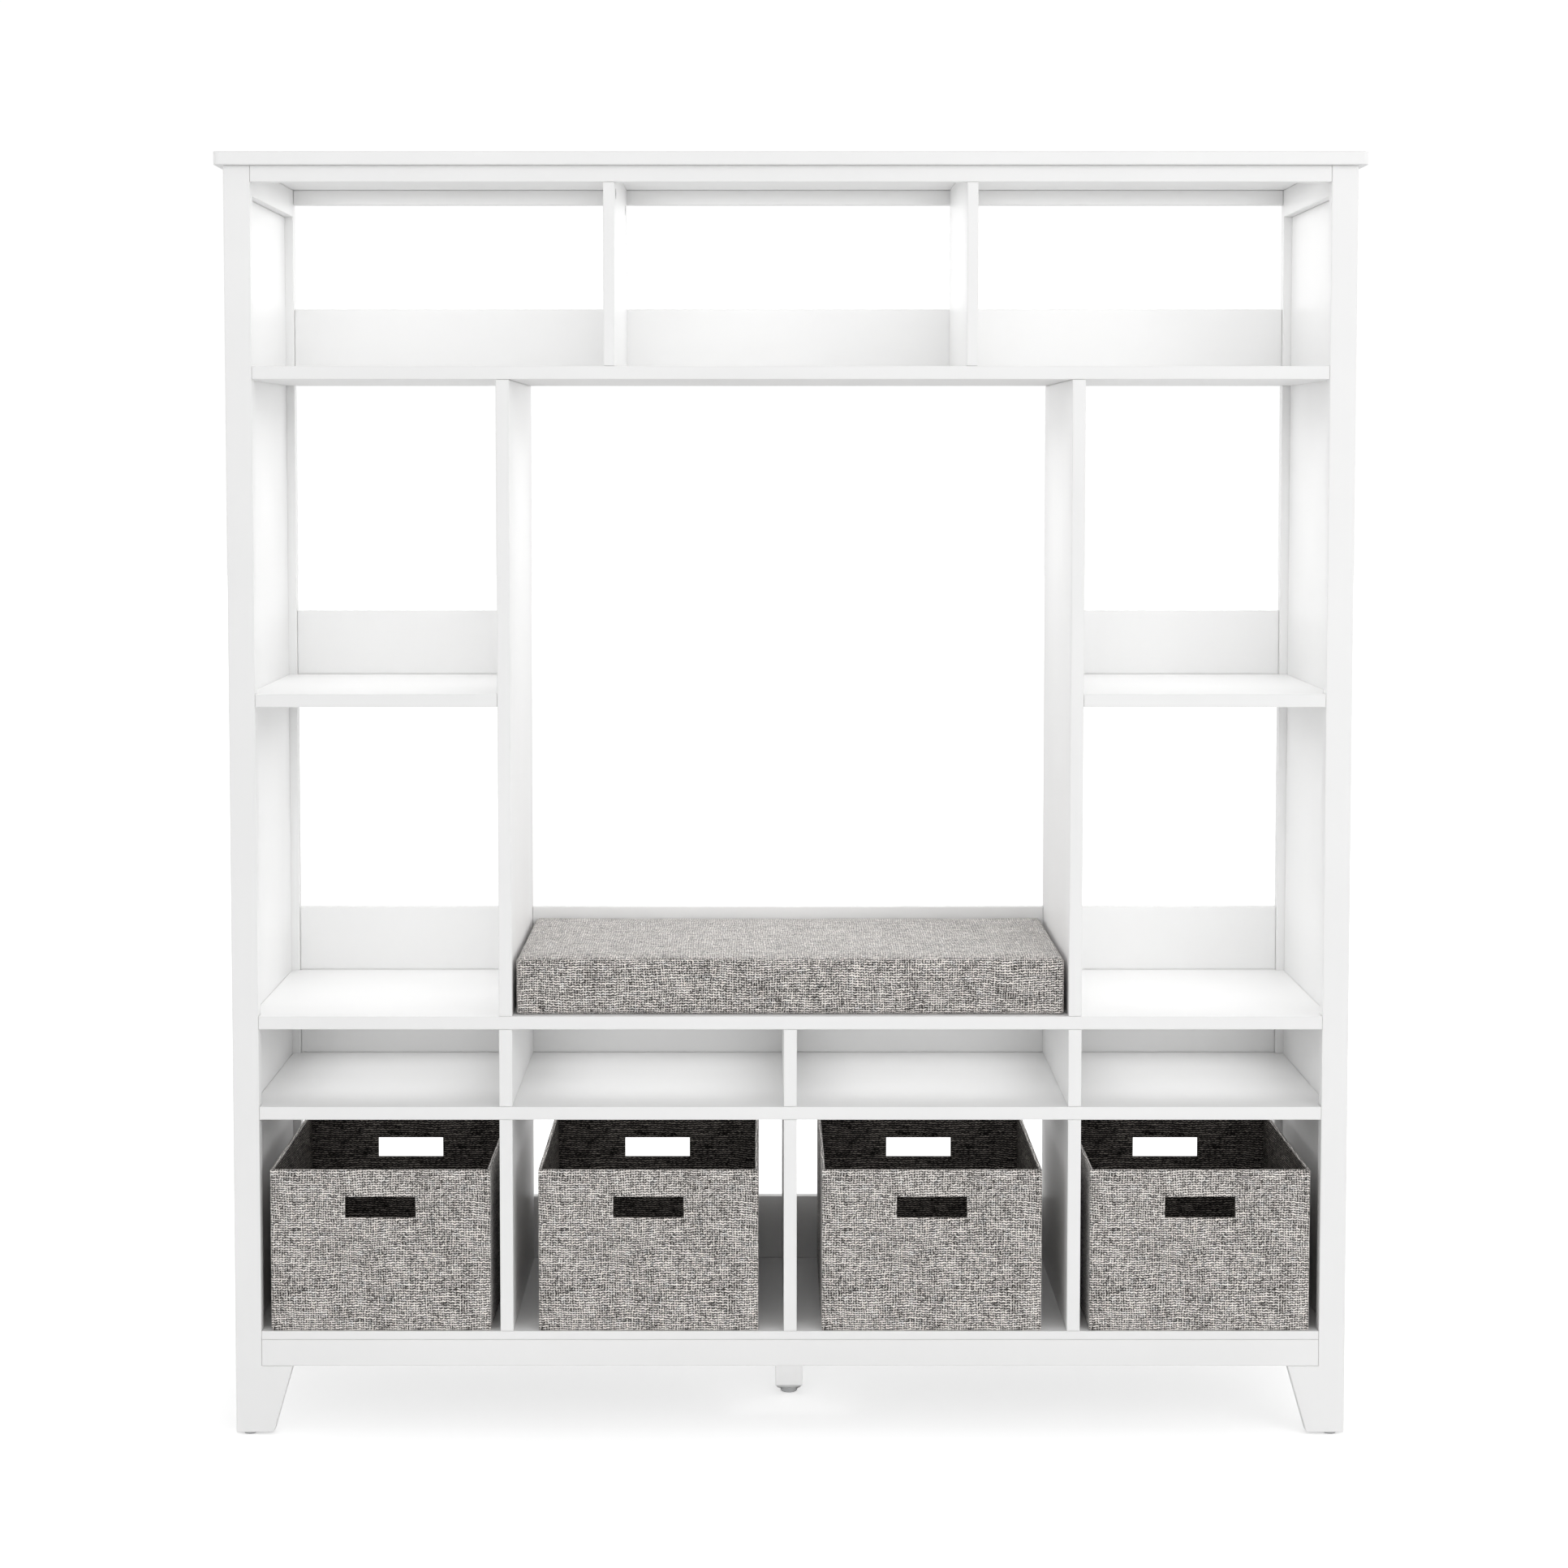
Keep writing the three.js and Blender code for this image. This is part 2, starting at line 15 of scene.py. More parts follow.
import bmesh
import bpy
import numpy as np
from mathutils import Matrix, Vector

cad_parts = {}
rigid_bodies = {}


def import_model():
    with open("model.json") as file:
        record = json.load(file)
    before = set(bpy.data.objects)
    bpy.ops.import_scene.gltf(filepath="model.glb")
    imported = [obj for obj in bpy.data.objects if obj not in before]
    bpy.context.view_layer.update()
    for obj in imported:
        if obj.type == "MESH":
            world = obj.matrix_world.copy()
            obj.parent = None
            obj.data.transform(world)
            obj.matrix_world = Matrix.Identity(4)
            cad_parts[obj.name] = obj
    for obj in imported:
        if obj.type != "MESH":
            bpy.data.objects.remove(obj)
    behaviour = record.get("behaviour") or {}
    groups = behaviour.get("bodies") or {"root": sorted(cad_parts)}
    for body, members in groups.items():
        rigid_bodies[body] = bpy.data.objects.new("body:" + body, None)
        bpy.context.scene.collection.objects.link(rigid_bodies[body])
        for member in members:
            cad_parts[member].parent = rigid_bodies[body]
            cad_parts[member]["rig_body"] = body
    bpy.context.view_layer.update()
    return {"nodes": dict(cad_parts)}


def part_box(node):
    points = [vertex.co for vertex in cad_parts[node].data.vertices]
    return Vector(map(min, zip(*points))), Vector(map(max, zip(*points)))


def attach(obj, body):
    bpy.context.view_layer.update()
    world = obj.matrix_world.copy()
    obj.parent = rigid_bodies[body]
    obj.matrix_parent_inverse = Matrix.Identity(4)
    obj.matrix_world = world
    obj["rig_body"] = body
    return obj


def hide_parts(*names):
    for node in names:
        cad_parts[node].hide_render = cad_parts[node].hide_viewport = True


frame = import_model()

# Points closer than the first are merged, places closer than the second are one place, and a
# place farther in than the third is clear of the line beside it.
MERGE_WITHIN = 2e-6
SAME_PLACE = 1e-6
WELL_INSIDE = 1e-4

# How far a thread keeps one tone, in threads: its slubs, and the short dashes among them.
SLUB_LENGTH = 7.0
DASH_LENGTH = 0.9
# How far apart in the noise two neighbouring threads, the dashes, and the two ways are read.
THREAD_STEP = 3.71
DASH_OFFSET = 31.0
WARP_OFFSET = 4.7
WEFT_OFFSET = 19.3
# The slow drift of whole rows and the quick jitter of single threads, in waves for each thread.
DRIFT_SCALE = 0.045
JITTER_SCALE = 0.5
# The middle run of the noise, which becomes the tones from the darkest thread to 1.
TONE_SPREAD = (0.32, 0.68)
DARKEST_THREAD = 0.35

# Names of what the materials read from a mesh: cloth places, nearness to an edge, sewn edges.
WOVEN_UV = "cloth"
EDGE_ATTRIBUTE = "edge"
SEAM_ATTRIBUTE = "seam"

Array = np.ndarray
Node = bpy.types.Node
Socket = bpy.types.NodeSocket
Material = bpy.types.Material
Object = bpy.types.Object
log = logging.getLogger("storage_bench")


class Axis(Enum):
    """The direction in which an outline is carried; the outline's own two axes follow in turn."""

    X = 0
    Y = 1
    Z = 2

    @property
    def order(self) -> tuple[int, int, int]:
        """World axes of the outline's first and second coordinate and of the carrying direction."""
        return (self.value + 1) % 3, (self.value + 2) % 3, self.value


class Slot(Enum):
    """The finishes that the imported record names."""

    PAINT = "white_paint"
    TWEED = "grey_tweed"
    # The lining finish, whose material darkens the cloth partly as painted shade of the bins' insides.
    LINING = "dark_lining"
    ZINC = "zinc_casting"
    PLASTIC = "grey_plastic"


# ---------------------------------------------------------------- surfaces


@dataclass
class Surface:
    """A closed surface: points, four-sided faces, and flat many-sided caps.

    Each face corner may carry a place on the cloth, and each point a nearness to an edge.
    """

    points: Array
    quads: Array
    caps: list[Array] = field(default_factory=list)
    quad_uv: Array | None = None
    cap_uv: list[Array] = field(default_factory=list)
    edge: Array | None = None
    quad_material: Array | None = None
    cap_material: list[int] = field(default_factory=list)

    def mesh(self, name: str, sharp: float = 50.0) -> bpy.types.Mesh:
        """Puts the surface into a mesh, merges its meeting points and turns its faces outwards.

        Args:
            name: The mesh's name.
            sharp: Edges that turn by more than this many degrees are shaded sharp.

        Returns:
            The finished mesh.
        """
        mesh = bpy.data.meshes.new(name)
        faces = self.quads.tolist() + [cap.tolist() for cap in self.caps]
        mesh.from_pydata(self.points.tolist(), [], faces)
        if self.quad_uv is not None:
            layer = mesh.uv_layers.new(name=WOVEN_UV)
            flat = [self.quad_uv.reshape(-1, 2), *self.cap_uv]
            layer.data.foreach_set("uv", np.concatenate(flat).astype(np.float32).ravel())
        if self.edge is not None:
            attribute = mesh.attributes.new(EDGE_ATTRIBUTE, "FLOAT", "POINT")
            attribute.data.foreach_set("value", self.edge.astype(np.float32))
        if self.quad_material is not None:
            index = np.concatenate([self.quad_material, self.cap_material]).astype(np.int32)
            mesh.polygons.foreach_set("material_index", index)
        work = bmesh.new()
        work.from_mesh(mesh)
        bmesh.ops.remove_doubles(work, verts=work.verts, dist=MERGE_WITHIN)
        bmesh.ops.dissolve_degenerate(work, dist=SAME_PLACE, edges=work.edges)
        bmesh.ops.recalc_face_normals(work, faces=work.faces)
        work.to_mesh(mesh)
        work.free()
        mesh.polygons.foreach_set("use_smooth", np.ones(len(mesh.polygons), bool))
        mesh.set_sharp_from_angle(angle=math.radians(sharp))
        mesh.update()
        return mesh


@dataclass(frozen=True)
class Outline:
    """A closed outline with rounded corners, which can be drawn in by any inset.

    An outward corner's arc shrinks with the inset until it is a plain mitre, and an inward corner's
    arc grows. A corner between two sides in line is a plain point on them. Two plain points stand
    at a margin either side of each corner, and hold the flat faces flat where they are shaded.
    """

    corners: Array
    radius: float
    steps: int = 3
    margin: float = 0.004

    def _sides(self) -> tuple[Array, Array, Array, Array]:
        """Directions into and out of each corner, and their normals towards the inside.

        Returns:
            The directions in and out, and the normals in and out, one row for each corner.
        """
        into = self.corners - np.roll(self.corners, 1, axis=0)
        into = into / np.linalg.norm(into, axis=1, keepdims=True)
        out = np.roll(into, -1, axis=0)
        inward = [np.stack([-d[:, 1], d[:, 0]], axis=1) for d in (into, out)]
        return into, out, inward[0], inward[1]

    def ring(self, inset: float) -> Array:
        """The outline drawn in by an inset.

        Args:
            inset: Distance inwards from the outline.

        Returns:
            Points in order round the outline, the same number at every inset.
        """
        into, out, n_in, n_out = self._sides()
        turn = n_in[:, 0] * n_out[:, 1] - n_in[:, 1] * n_out[:, 0]
        straight = (n_in * n_out).sum(1)
        sweep = np.arctan2(turn, straight)
        mitre = (n_in + n_out) / (1 + straight)[:, None]
        outward_corner = turn > 1e-9
        radius = np.where(outward_corner, max(self.radius - inset, 0), self.radius + inset)
        pull = np.where(outward_corner, max(inset, self.radius), -self.radius)
        centre = self.corners + mitre * pull[:, None]
        angle = sweep[:, None] * np.linspace(0, 1, self.steps + 1)[None]
        turned = np.stack(
            [
                n_in[:, None, 0] * np.cos(angle) - n_in[:, None, 1] * np.sin(angle),
                n_in[:, None, 0] * np.sin(angle) + n_in[:, None, 1] * np.cos(angle),
            ],
            axis=2,
        )
        sign = np.where(outward_corner, -1.0, 1.0)
        arc = centre[:, None] + turned * (sign * radius)[:, None, None]
        before = self.corners - into * self.margin + n_in * inset
        after = self.corners + out * self.margin + n_out * inset
        return np.concatenate([before[:, None], arc, after[:, None]], axis=1).reshape(-1, 2)

    def on_corner(self) -> Array:
        """1 for the points of a corner's arc and 0 for the plain points beside it."""
        one = np.r_[0, np.ones(self.steps + 1), 0]
        return np.tile(one, len(self.corners))


def rectangle(low: Sequence[float], high: Sequence[float]) -> Array:
    """Corners of a rectangle, counter-clockwise."""
    return np.array([[low[0], low[1]], [high[0], low[1]], [high[0], high[1]], [low[0], high[1]]])


def counter_clockwise(corners: Array) -> Array:
    """The same corners, in the order that keeps the inside on the left.

    Args:
        corners: The corners in either order.

    Returns:
        The corners, turned round if they ran clockwise.
    """
    following = np.roll(corners, -1, axis=0)
    area = (corners[:, 0] * following[:, 1] - corners[:, 1] * following[:, 0]).sum()
    return corners if area > 0 else corners[::-1]


def quarter(radius: float, start: float, steps: int = 3) -> Array:
    """A quarter circle of (across, up) places about its centre, from a start angle in degrees."""
    angle = np.radians(start + np.linspace(0, 90, steps + 1))
    return radius * np.stack([np.cos(angle), np.sin(angle)], axis=1)


def eased_profile(low: float, high: float, radius: float, margin: float) -> tuple[Array, Array]:
    """The edge of a board seen from its end: flat face, quarter round, side, quarter round, face.

    Args:
        low: Height of the lower face.
        high: Height of the upper face.
        radius: Radius of both quarter rounds.
        margin: How far in from the rounds the last point on each face stands.

    Returns:
        (inset, height) points from the lower face to the upper one, and the kind of each:
        1 on a round, 0 on the side between the rounds, -1 on a face.
    """
    angle = np.radians(np.linspace(0, 90, 4))
    rounded = [radius - radius * np.sin(angle), low + radius - radius * np.cos(angle)]
    lower = np.stack(rounded, axis=1)
    upper = np.stack([lower[::-1, 0], high + low - lower[::-1, 1]], 1)
    side = np.array([[0, low + margin], [0, high - margin]])
    points = np.concatenate([[[margin, low]], lower, side, upper, [[margin, high]]])
    kind = np.r_[-1, np.ones(4), 0, 0, np.ones(4), -1]
    return points, kind


def carried(outline: Outline, profile: Array, axis: Axis, kind: Array | None = None) -> Surface:
    """A profile of (inset, height) points carried round an outline, closed by a flat cap at each end.

    The point for profile point k and outline column c is the outline drawn in by the profile's
    inset, at column c, raised along the axis by the profile's height.

    Args:
        outline: The outline, in the plane across the axis.
        profile: (inset, height) points from the lower cap to the upper one.
        axis: The direction that heights are measured along.
        kind: For each profile point, 1 on a round, 0 on a side and -1 on a face.

    Returns:
        The closed surface, with its cloth places measured round the outline and along the profile.
    """
    rings = np.stack([outline.ring(inset) for inset in profile[:, 0]])
    rows, columns = rings.shape[:2]
    points = np.empty((rows, columns, 3))
    first, second, along = axis.order
    points[..., first] = rings[..., 0]
    points[..., second] = rings[..., 1]
    points[..., along] = profile[:, 1, None]
    index = np.arange(rows * columns).reshape(rows, columns)
    following = np.roll(index, -1, axis=1)
    corners = [index[:-1], following[:-1], following[1:], index[1:]]
    quads = np.stack(corners, axis=-1).reshape(-1, 4)

    full = outline.ring(0.0)
    around = np.r_[0, np.linalg.norm(np.diff(full, axis=0, append=full[:1]), axis=1).cumsum()]
    up = np.r_[0, np.linalg.norm(np.diff(profile, axis=0), axis=1).cumsum()]
    u = np.stack([around[:-1], around[1:], around[1:], around[:-1]], axis=-1)
    v = np.stack([up[:-1], up[:-1], up[1:], up[1:]], axis=-1)
    quad_uv = np.stack(np.broadcast_arrays(u[None], v[:, None]), axis=-1).reshape(-1, 4, 2)

    edge = None
    if kind is not None:
        on_corner = outline.on_corner()[None] * (kind[:, None] > -0.5)
        edge = np.maximum(kind[:, None] > 0.5, on_corner).astype(float).ravel()
    return Surface(
        points=points.reshape(-1, 3),
        quads=quads,
        caps=[index[0, ::-1], index[-1]],
        quad_uv=quad_uv,
        cap_uv=[rings[0, ::-1], rings[-1]],
        edge=edge,
    )


def turned(profile: Array, centre: Sequence[float], around: int = 64) -> Surface:
    """A profile of (radius, height) points turned about an upright axis.

    Args:
        profile: Points from the lower end to the upper one; the ends are closed by flat caps.
        centre: The axis's place in plan.
        around: Number of columns round the axis.

    Returns:
        The closed surface.
    """
    angle = np.linspace(0, 2 * np.pi, around, endpoint=False)
    radius, height = profile[:, 0, None], profile[:, 1, None]
    x = centre[0] + radius * np.cos(angle)
    y = centre[1] + radius * np.sin(angle)
    z = np.broadcast_to(height, x.shape)
    index = np.arange(x.size).reshape(x.shape)
    following = np.roll(index, -1, axis=1)
    quads = np.stack([index[:-1], following[:-1], following[1:], index[1:]], axis=-1)
    points = np.stack([x, y, z], axis=-1).reshape(-1, 3)
    return Surface(points=points, quads=quads.reshape(-1, 4), caps=[index[0, ::-1], index[-1]])


# ---------------------------------------------------------------- shader helpers


class Sheet:
    """A node tree being drawn: adds nodes, feeds their inputs, and lays them out in columns."""

    def __init__(self, tree: bpy.types.NodeTree) -> None:
        """Starts from an empty tree."""
        self.tree = tree
        tree.nodes.clear()

    def add(self, kind: str, feeds: dict | None = None, **settings: object) -> Node:
        """Adds a node.

        Args:
            kind: The node's type name.
            feeds: What goes into each input, by name or number: a socket or a constant.
            **settings: The node's own properties.

        Returns:
            The new node.
        """
        node = self.tree.nodes.new(kind)
        node.location = (180 * (len(self.tree.nodes) % 12), -220 * (len(self.tree.nodes) // 12))
        for name, value in settings.items():
            setattr(node, name, value)
        for name, value in (feeds or {}).items():
            self.feed(node.inputs[name], value)
        return node

    def feed(self, socket: Socket, value: object) -> None:
        """Links a socket, or sets the constant, into an input.

        Args:
            socket: The input.
            value: A socket to link, a constant to set, or None to leave it alone.
        """
        if isinstance(value, bpy.types.NodeSocket):
            self.tree.links.new(value, socket)
        elif value is not None:
            socket.default_value = value

    def math(self, operation: str, *values: object) -> Socket:
        """One step of arithmetic on up to three values."""
        node = self.add("ShaderNodeMath", dict(enumerate(values)), operation=operation)
        return node.outputs[0]

    def vector(self, operation: str, *values: object) -> Socket:
        """One step of arithmetic on vectors."""
        node = self.add("ShaderNodeVectorMath", dict(enumerate(values)), operation=operation)
        return node.outputs["Vector"]

    def mapped(self, value: object, old: tuple[float, float], new: tuple[float, float]) -> Socket:
        """A value carried from one range to another, held at the ends."""
        feeds = {0: value, 1: old[0], 2: old[1], 3: new[0], 4: new[1]}
        return self.add("ShaderNodeMapRange", feeds, clamp=True).outputs[0]

    def noise(self, place: object, scale: object, detail: float = 2.0, rough: float = 0.5) -> Node:
        """A cloud of smooth noise."""
        feeds = {"Vector": place, "Scale": scale, "Detail": detail, "Roughness": rough}
        return self.add("ShaderNodeTexNoise", feeds, noise_dimensions="3D")

    def mix(self, factor: object, first: object, second: object, blend: str = "MIX") -> Socket:
        """Two colours mixed.

        Args:
            factor: How much of the second colour shows.
            first: The first colour.
            second: The second colour.
            blend: The way the two are blended.

        Returns:
            The mixed colour.
        """
        node = self.add("ShaderNodeMix", data_type="RGBA", blend_type=blend)
        for number, value in ((0, factor), (6, first), (7, second)):
            self.feed(node.inputs[number], value)
        return node.outputs[2]


def rgb(red: float, green: float, blue: float) -> tuple[float, float, float, float]:
    """A linear colour with full alpha."""
    return red, green, blue, 1.0


@dataclass(frozen=True)
class GroupInput:
    """One named input of a shader group."""

    name: str
    default: float | tuple[float, float, float]
    kind: str = "NodeSocketFloat"


def make_group(
    name: str,
    inputs: Sequence[GroupInput],
    outputs: Sequence[str],
    draw: Callable[[Sheet, dict[str, Socket]], dict[str, Socket]],
) -> bpy.types.NodeTree:
    """Builds a shader group once, and gives back the same one when it is asked for again.

    Args:
        name: The group's name.
        inputs: Its named inputs.
        outputs: Names of its value outputs.
        draw: Draws the inside: takes the sheet and the input sockets, gives the output sockets.

    Returns:
        The group's tree.
    """
    if name in bpy.data.node_groups:
        return bpy.data.node_groups[name]
    tree = bpy.data.node_groups.new(name, "ShaderNodeTree")
    for entry in inputs:
        socket = tree.interface.new_socket(entry.name, in_out="INPUT", socket_type=entry.kind)
        socket.default_value = entry.default
    for output in outputs:
        tree.interface.new_socket(output, in_out="OUTPUT", socket_type="NodeSocketFloat")
    sheet = Sheet(tree)
    start = sheet.add("NodeGroupInput")
    results = draw(sheet, {entry.name: start.outputs[entry.name] for entry in inputs})
    sheet.add("NodeGroupOutput", results)
    return tree


def _half_sine(sheet: Sheet, value: Socket) -> Socket:
    """Half a sine wave over each whole step of a value, 0 at its ends and 1 halfway."""
    return sheet.math("SINE", sheet.math("MULTIPLY", sheet.math("FRACT", value), math.pi))


def _alternate(sheet: Sheet, value: Socket) -> Socket:
    """+1 on even steps of a value and -1 on odd ones."""
    return sheet.math("COSINE", sheet.math("MULTIPLY", sheet.math("FLOOR", value), math.pi))


def _rise(sheet: Sheet, value: Socket) -> Socket:
    """A cosine wave two steps long, highest halfway over an even step."""
    turn = sheet.math("MULTIPLY", sheet.math("SUBTRACT", value, 0.5), math.pi)
    return sheet.math("COSINE", turn)


def _drawn_out(sheet: Sheet, thread: Socket, along: Socket, length: float, offset: float) -> Socket:
    """Noise of its own for each thread, drawn out along it.

    Args:
        sheet: The node sheet.
        thread: The coordinate across the threads, in threads.
        along: The coordinate along them, in threads.
        length: About how far a tone lasts, in threads.
        offset: Keeps one use of the noise apart from another.

    Returns:
        The noise, from 0 to 1.
    """
    feeds = {0: sheet.math("MULTIPLY", sheet.math("FLOOR", thread), THREAD_STEP), 2: offset}
    feeds[1] = sheet.math("DIVIDE", along, length)
    spot = sheet.add("ShaderNodeCombineXYZ", feeds)
    return sheet.noise(spot.outputs[0], 1.0, 1.0, 0.5).outputs[0]


def _thread_tone(
    sheet: Sheet, thread: Socket, along: Socket, dash: Socket, offset: float
) -> Socket:
    """A thread's tone: long slubs, with short dashes mixed in by the chosen amount.

    Args:
        sheet: The node sheet.
        thread: The coordinate across the threads, in threads.
        along: The coordinate along them, in threads.
        dash: The share of the short dashes.
        offset: Keeps the two sets of threads apart.

    Returns:
        The tone, from that of the darkest thread to 1.
    """
    slub = _drawn_out(sheet, thread, along, SLUB_LENGTH, offset)
    short = _drawn_out(sheet, thread, along, DASH_LENGTH, offset + DASH_OFFSET)
    both = sheet.add("ShaderNodeMix", {0: dash, 2: slub, 3: short}).outputs[0]
    return sheet.mapped(both, TONE_SPREAD, (DARKEST_THREAD, 1.0))


def _draw_weave(sheet: Sheet, given: dict[str, Socket]) -> dict[str, Socket]:
    """Plain weave. Across its width a thread is half a sine wave high, and along its length it
    rises over one crossing thread and dips under the next, as a cosine wave; the higher of the
    two is the height. Each thread is as bright as its width profile times its own tone, and the
    brighter of the two threads at a place gives the tone, so light threads show as short lines
    both ways and the gaps between threads stay dark.

    Args:
        sheet: The sheet of the group.
        given: The group's inputs by name.

    Returns:
        The height, and the tone with its painted shade, by output name.
    """
    place = sheet.vector("DIVIDE", given["Place"], given["Pitch"])
    drift = sheet.noise(place, DRIFT_SCALE, 1.0)
    centred = sheet.vector("SUBTRACT", drift.outputs["Color"], (0.5, 0.5, 0.5))
    shift = sheet.vector("SCALE", centred)
    sheet.feed(shift.node.inputs["Scale"], given["Wander"])
    jitter = sheet.noise(place, JITTER_SCALE, 1.0)
    loose = sheet.vector("SUBTRACT", jitter.outputs["Color"], (0.5, 0.5, 0.5))
    slack = sheet.vector("SCALE", loose)
    sheet.feed(slack.node.inputs["Scale"], given["Slack"])
    moved = sheet.vector("ADD", sheet.vector("ADD", place, shift), slack)
    apart = sheet.add("ShaderNodeSeparateXYZ", {0: moved})
    across, up = apart.outputs[0], apart.outputs[1]
    wave = sheet.math("SINE", sheet.math("MULTIPLY", across, math.pi))
    up = sheet.math("MULTIPLY_ADD", wave, given["Sway"], up)
    over = sheet.math("MULTIPLY", _rise(sheet, up), _alternate(sheet, across))
    under = sheet.math("MULTIPLY", _rise(sheet, across), _alternate(sheet, up))
    column, row = _half_sine(sheet, across), _half_sine(sheet, up)
    warp = sheet.math("MULTIPLY", column, sheet.math("MULTIPLY_ADD", over, 0.5, 0.5))
    weft = sheet.math("MULTIPLY", row, sheet.math("MULTIPLY_ADD", under, -0.5, 0.5))
    warp_tone = _thread_tone(sheet, across, up, given["Dash"], WARP_OFFSET)
    weft_tone = _thread_tone(sheet, up, across, given["Dash"], WEFT_OFFSET)
    # Each thread's own tone is scaled by its width profile, so its sides and the gaps between threads
    # darken: painted shade of round threads and of their gaps.
    slim_column = sheet.math("POWER", column, given["Slimness"])
    slim_row = sheet.math("POWER", row, given["Slimness"])
    upright = sheet.math("MULTIPLY", slim_column, warp_tone)
    # Warp Light dims the warp as painted shade of the warp seen down in the gaps.
    upright = sheet.math("MULTIPLY", upright, given["Warp Light"])
    level = sheet.math("MULTIPLY", slim_row, weft_tone)
    return {
        "Height": sheet.math("MAXIMUM", warp, weft),
        "Tone": sheet.math("MAXIMUM", upright, level),
    }


def weave_group() -> bpy.types.NodeTree:
    """The shared plain weave.

    Returns:
        The group's tree.
    """
    inputs = [
        GroupInput("Place", (0, 0, 0), "NodeSocketVector"),
        GroupInput("Pitch", (0.0034, 0.0034, 1.0), "NodeSocketVector"),
        GroupInput("Wander", 1.0),
        GroupInput("Sway", 0.15),
        GroupInput("Slack", 0.5),
        # Warp Light below 1 paints shade on the warp in the gaps.
        GroupInput("Warp Light", 0.9),
        GroupInput("Slimness", 1.5),
        GroupInput("Dash", 0.4),
    ]
    return make_group("plain_weave", inputs, ["Height", "Tone"], _draw_weave)


def _draw_edge_wear(sheet: Sheet, given: dict[str, Socket]) -> dict[str, Socket]:
    """Nearness to an edge, broken up by noise and held back to the chosen amount.

    Args:
        sheet: The sheet of the group.
        given: The group's inputs by name.

    Returns:
        The mask, by output name.
    """
    near = sheet.add("ShaderNodeAttribute", attribute_name=EDGE_ATTRIBUTE).outputs["Fac"]
    place = sheet.add("ShaderNodeTexCoord").outputs["Object"]
    broken = sheet.noise(place, given["Scale"], 3.0, 0.6).outputs[0]
    rubbed = sheet.math("MULTIPLY", sheet.math("POWER", near, 2.0), broken)
    return {"Mask": sheet.math("MULTIPLY", rubbed, given["Amount"])}


def edge_wear_group() -> bpy.types.NodeTree:
    """The shared rubbing along edges."""
    inputs = [GroupInput("Scale", 60.0), GroupInput("Amount", 1.0)]
    return make_group("edge_wear", inputs, ["Mask"], _draw_edge_wear)


def _draw_settled_dust(sheet: Sheet, given: dict[str, Socket]) -> dict[str, Socket]:
    """Dust on faces that look up, in soft patches.

    Args:
        sheet: The sheet of the group.
        given: The group's inputs by name.

    Returns:
        The mask, by output name.
    """
    normal = sheet.add("ShaderNodeNewGeometry").outputs["Normal"]
    up = sheet.add("ShaderNodeSeparateXYZ", {0: normal}).outputs[2]
    place = sheet.add("ShaderNodeTexCoord").outputs["Object"]
    patches = sheet.noise(place, given["Scale"], 4.0, 0.6).outputs[0]
    lying = sheet.math("POWER", sheet.math("MAXIMUM", up, 0.0), 3.0)
    return {"Mask": sheet.math("MULTIPLY", sheet.math("MULTIPLY", lying, patches), given["Amount"])}


def settled_dust_group() -> bpy.types.NodeTree:
    """The shared dust on upward faces."""
    inputs = [GroupInput("Scale", 9.0), GroupInput("Amount", 1.0)]
    return make_group("settled_dust", inputs, ["Mask"], _draw_settled_dust)


def _draw_grain(sheet: Sheet, given: dict[str, Socket]) -> dict[str, Socket]:
    """A fine even grain for its height, and slow clouds for its tone.

    Args:
        sheet: The sheet of the group.
        given: The group's inputs by name.

    Returns:
        The height and the clouds, by output name.
    """
    place = sheet.add("ShaderNodeTexCoord").outputs["Object"]
    fine = sheet.noise(place, given["Fine Scale"], 2.0, 0.5).outputs[0]
    slow = sheet.noise(place, given["Slow Scale"], 3.0, 0.55).outputs[0]
    return {"Height": fine, "Cloud": slow}


def grain_group() -> bpy.types.NodeTree:
    """The shared surface grain."""
    inputs = [GroupInput("Fine Scale", 700.0), GroupInput("Slow Scale", 3.0)]
    return make_group("surface_grain", inputs, ["Height", "Cloud"], _draw_grain)


def placed_group(sheet: Sheet, tree: bpy.types.NodeTree, **values: object) -> Node:
    """A group placed in a material, its inputs fed by name with underscores for spaces.

    Args:
        sheet: The material's sheet.
        tree: The group.
        **values: What goes into each input.

    Returns:
        The group's node.
    """
    node = sheet.add("ShaderNodeGroup", node_tree=tree)
    for name, value in values.items():
        sheet.feed(node.inputs[name.replace("_", " ")], value)
    return node


# ---------------------------------------------------------------- finishes


@dataclass(frozen=True)
class Finish:
    """A named finish that is made into one material, once."""

    name: str

    def material(self) -> Material:
        """The finish's material, drawn the first time that it is asked for.

        Returns:
            The material.
        """
        if self.name in bpy.data.materials:
            return bpy.data.materials[self.name]
        material = bpy.data.materials.new(self.name)
        material.use_nodes = True
        sheet = Sheet(material.node_tree)
        shader = sheet.add("ShaderNodeBsdfPrincipled")
        self.draw(sheet, shader)
        sheet.add("ShaderNodeOutputMaterial", {"Surface": shader.outputs[0]})
        return material

    def draw(self, sheet: Sheet, shader: Node) -> None:
        """Feeds the shader."""
        raise NotImplementedError


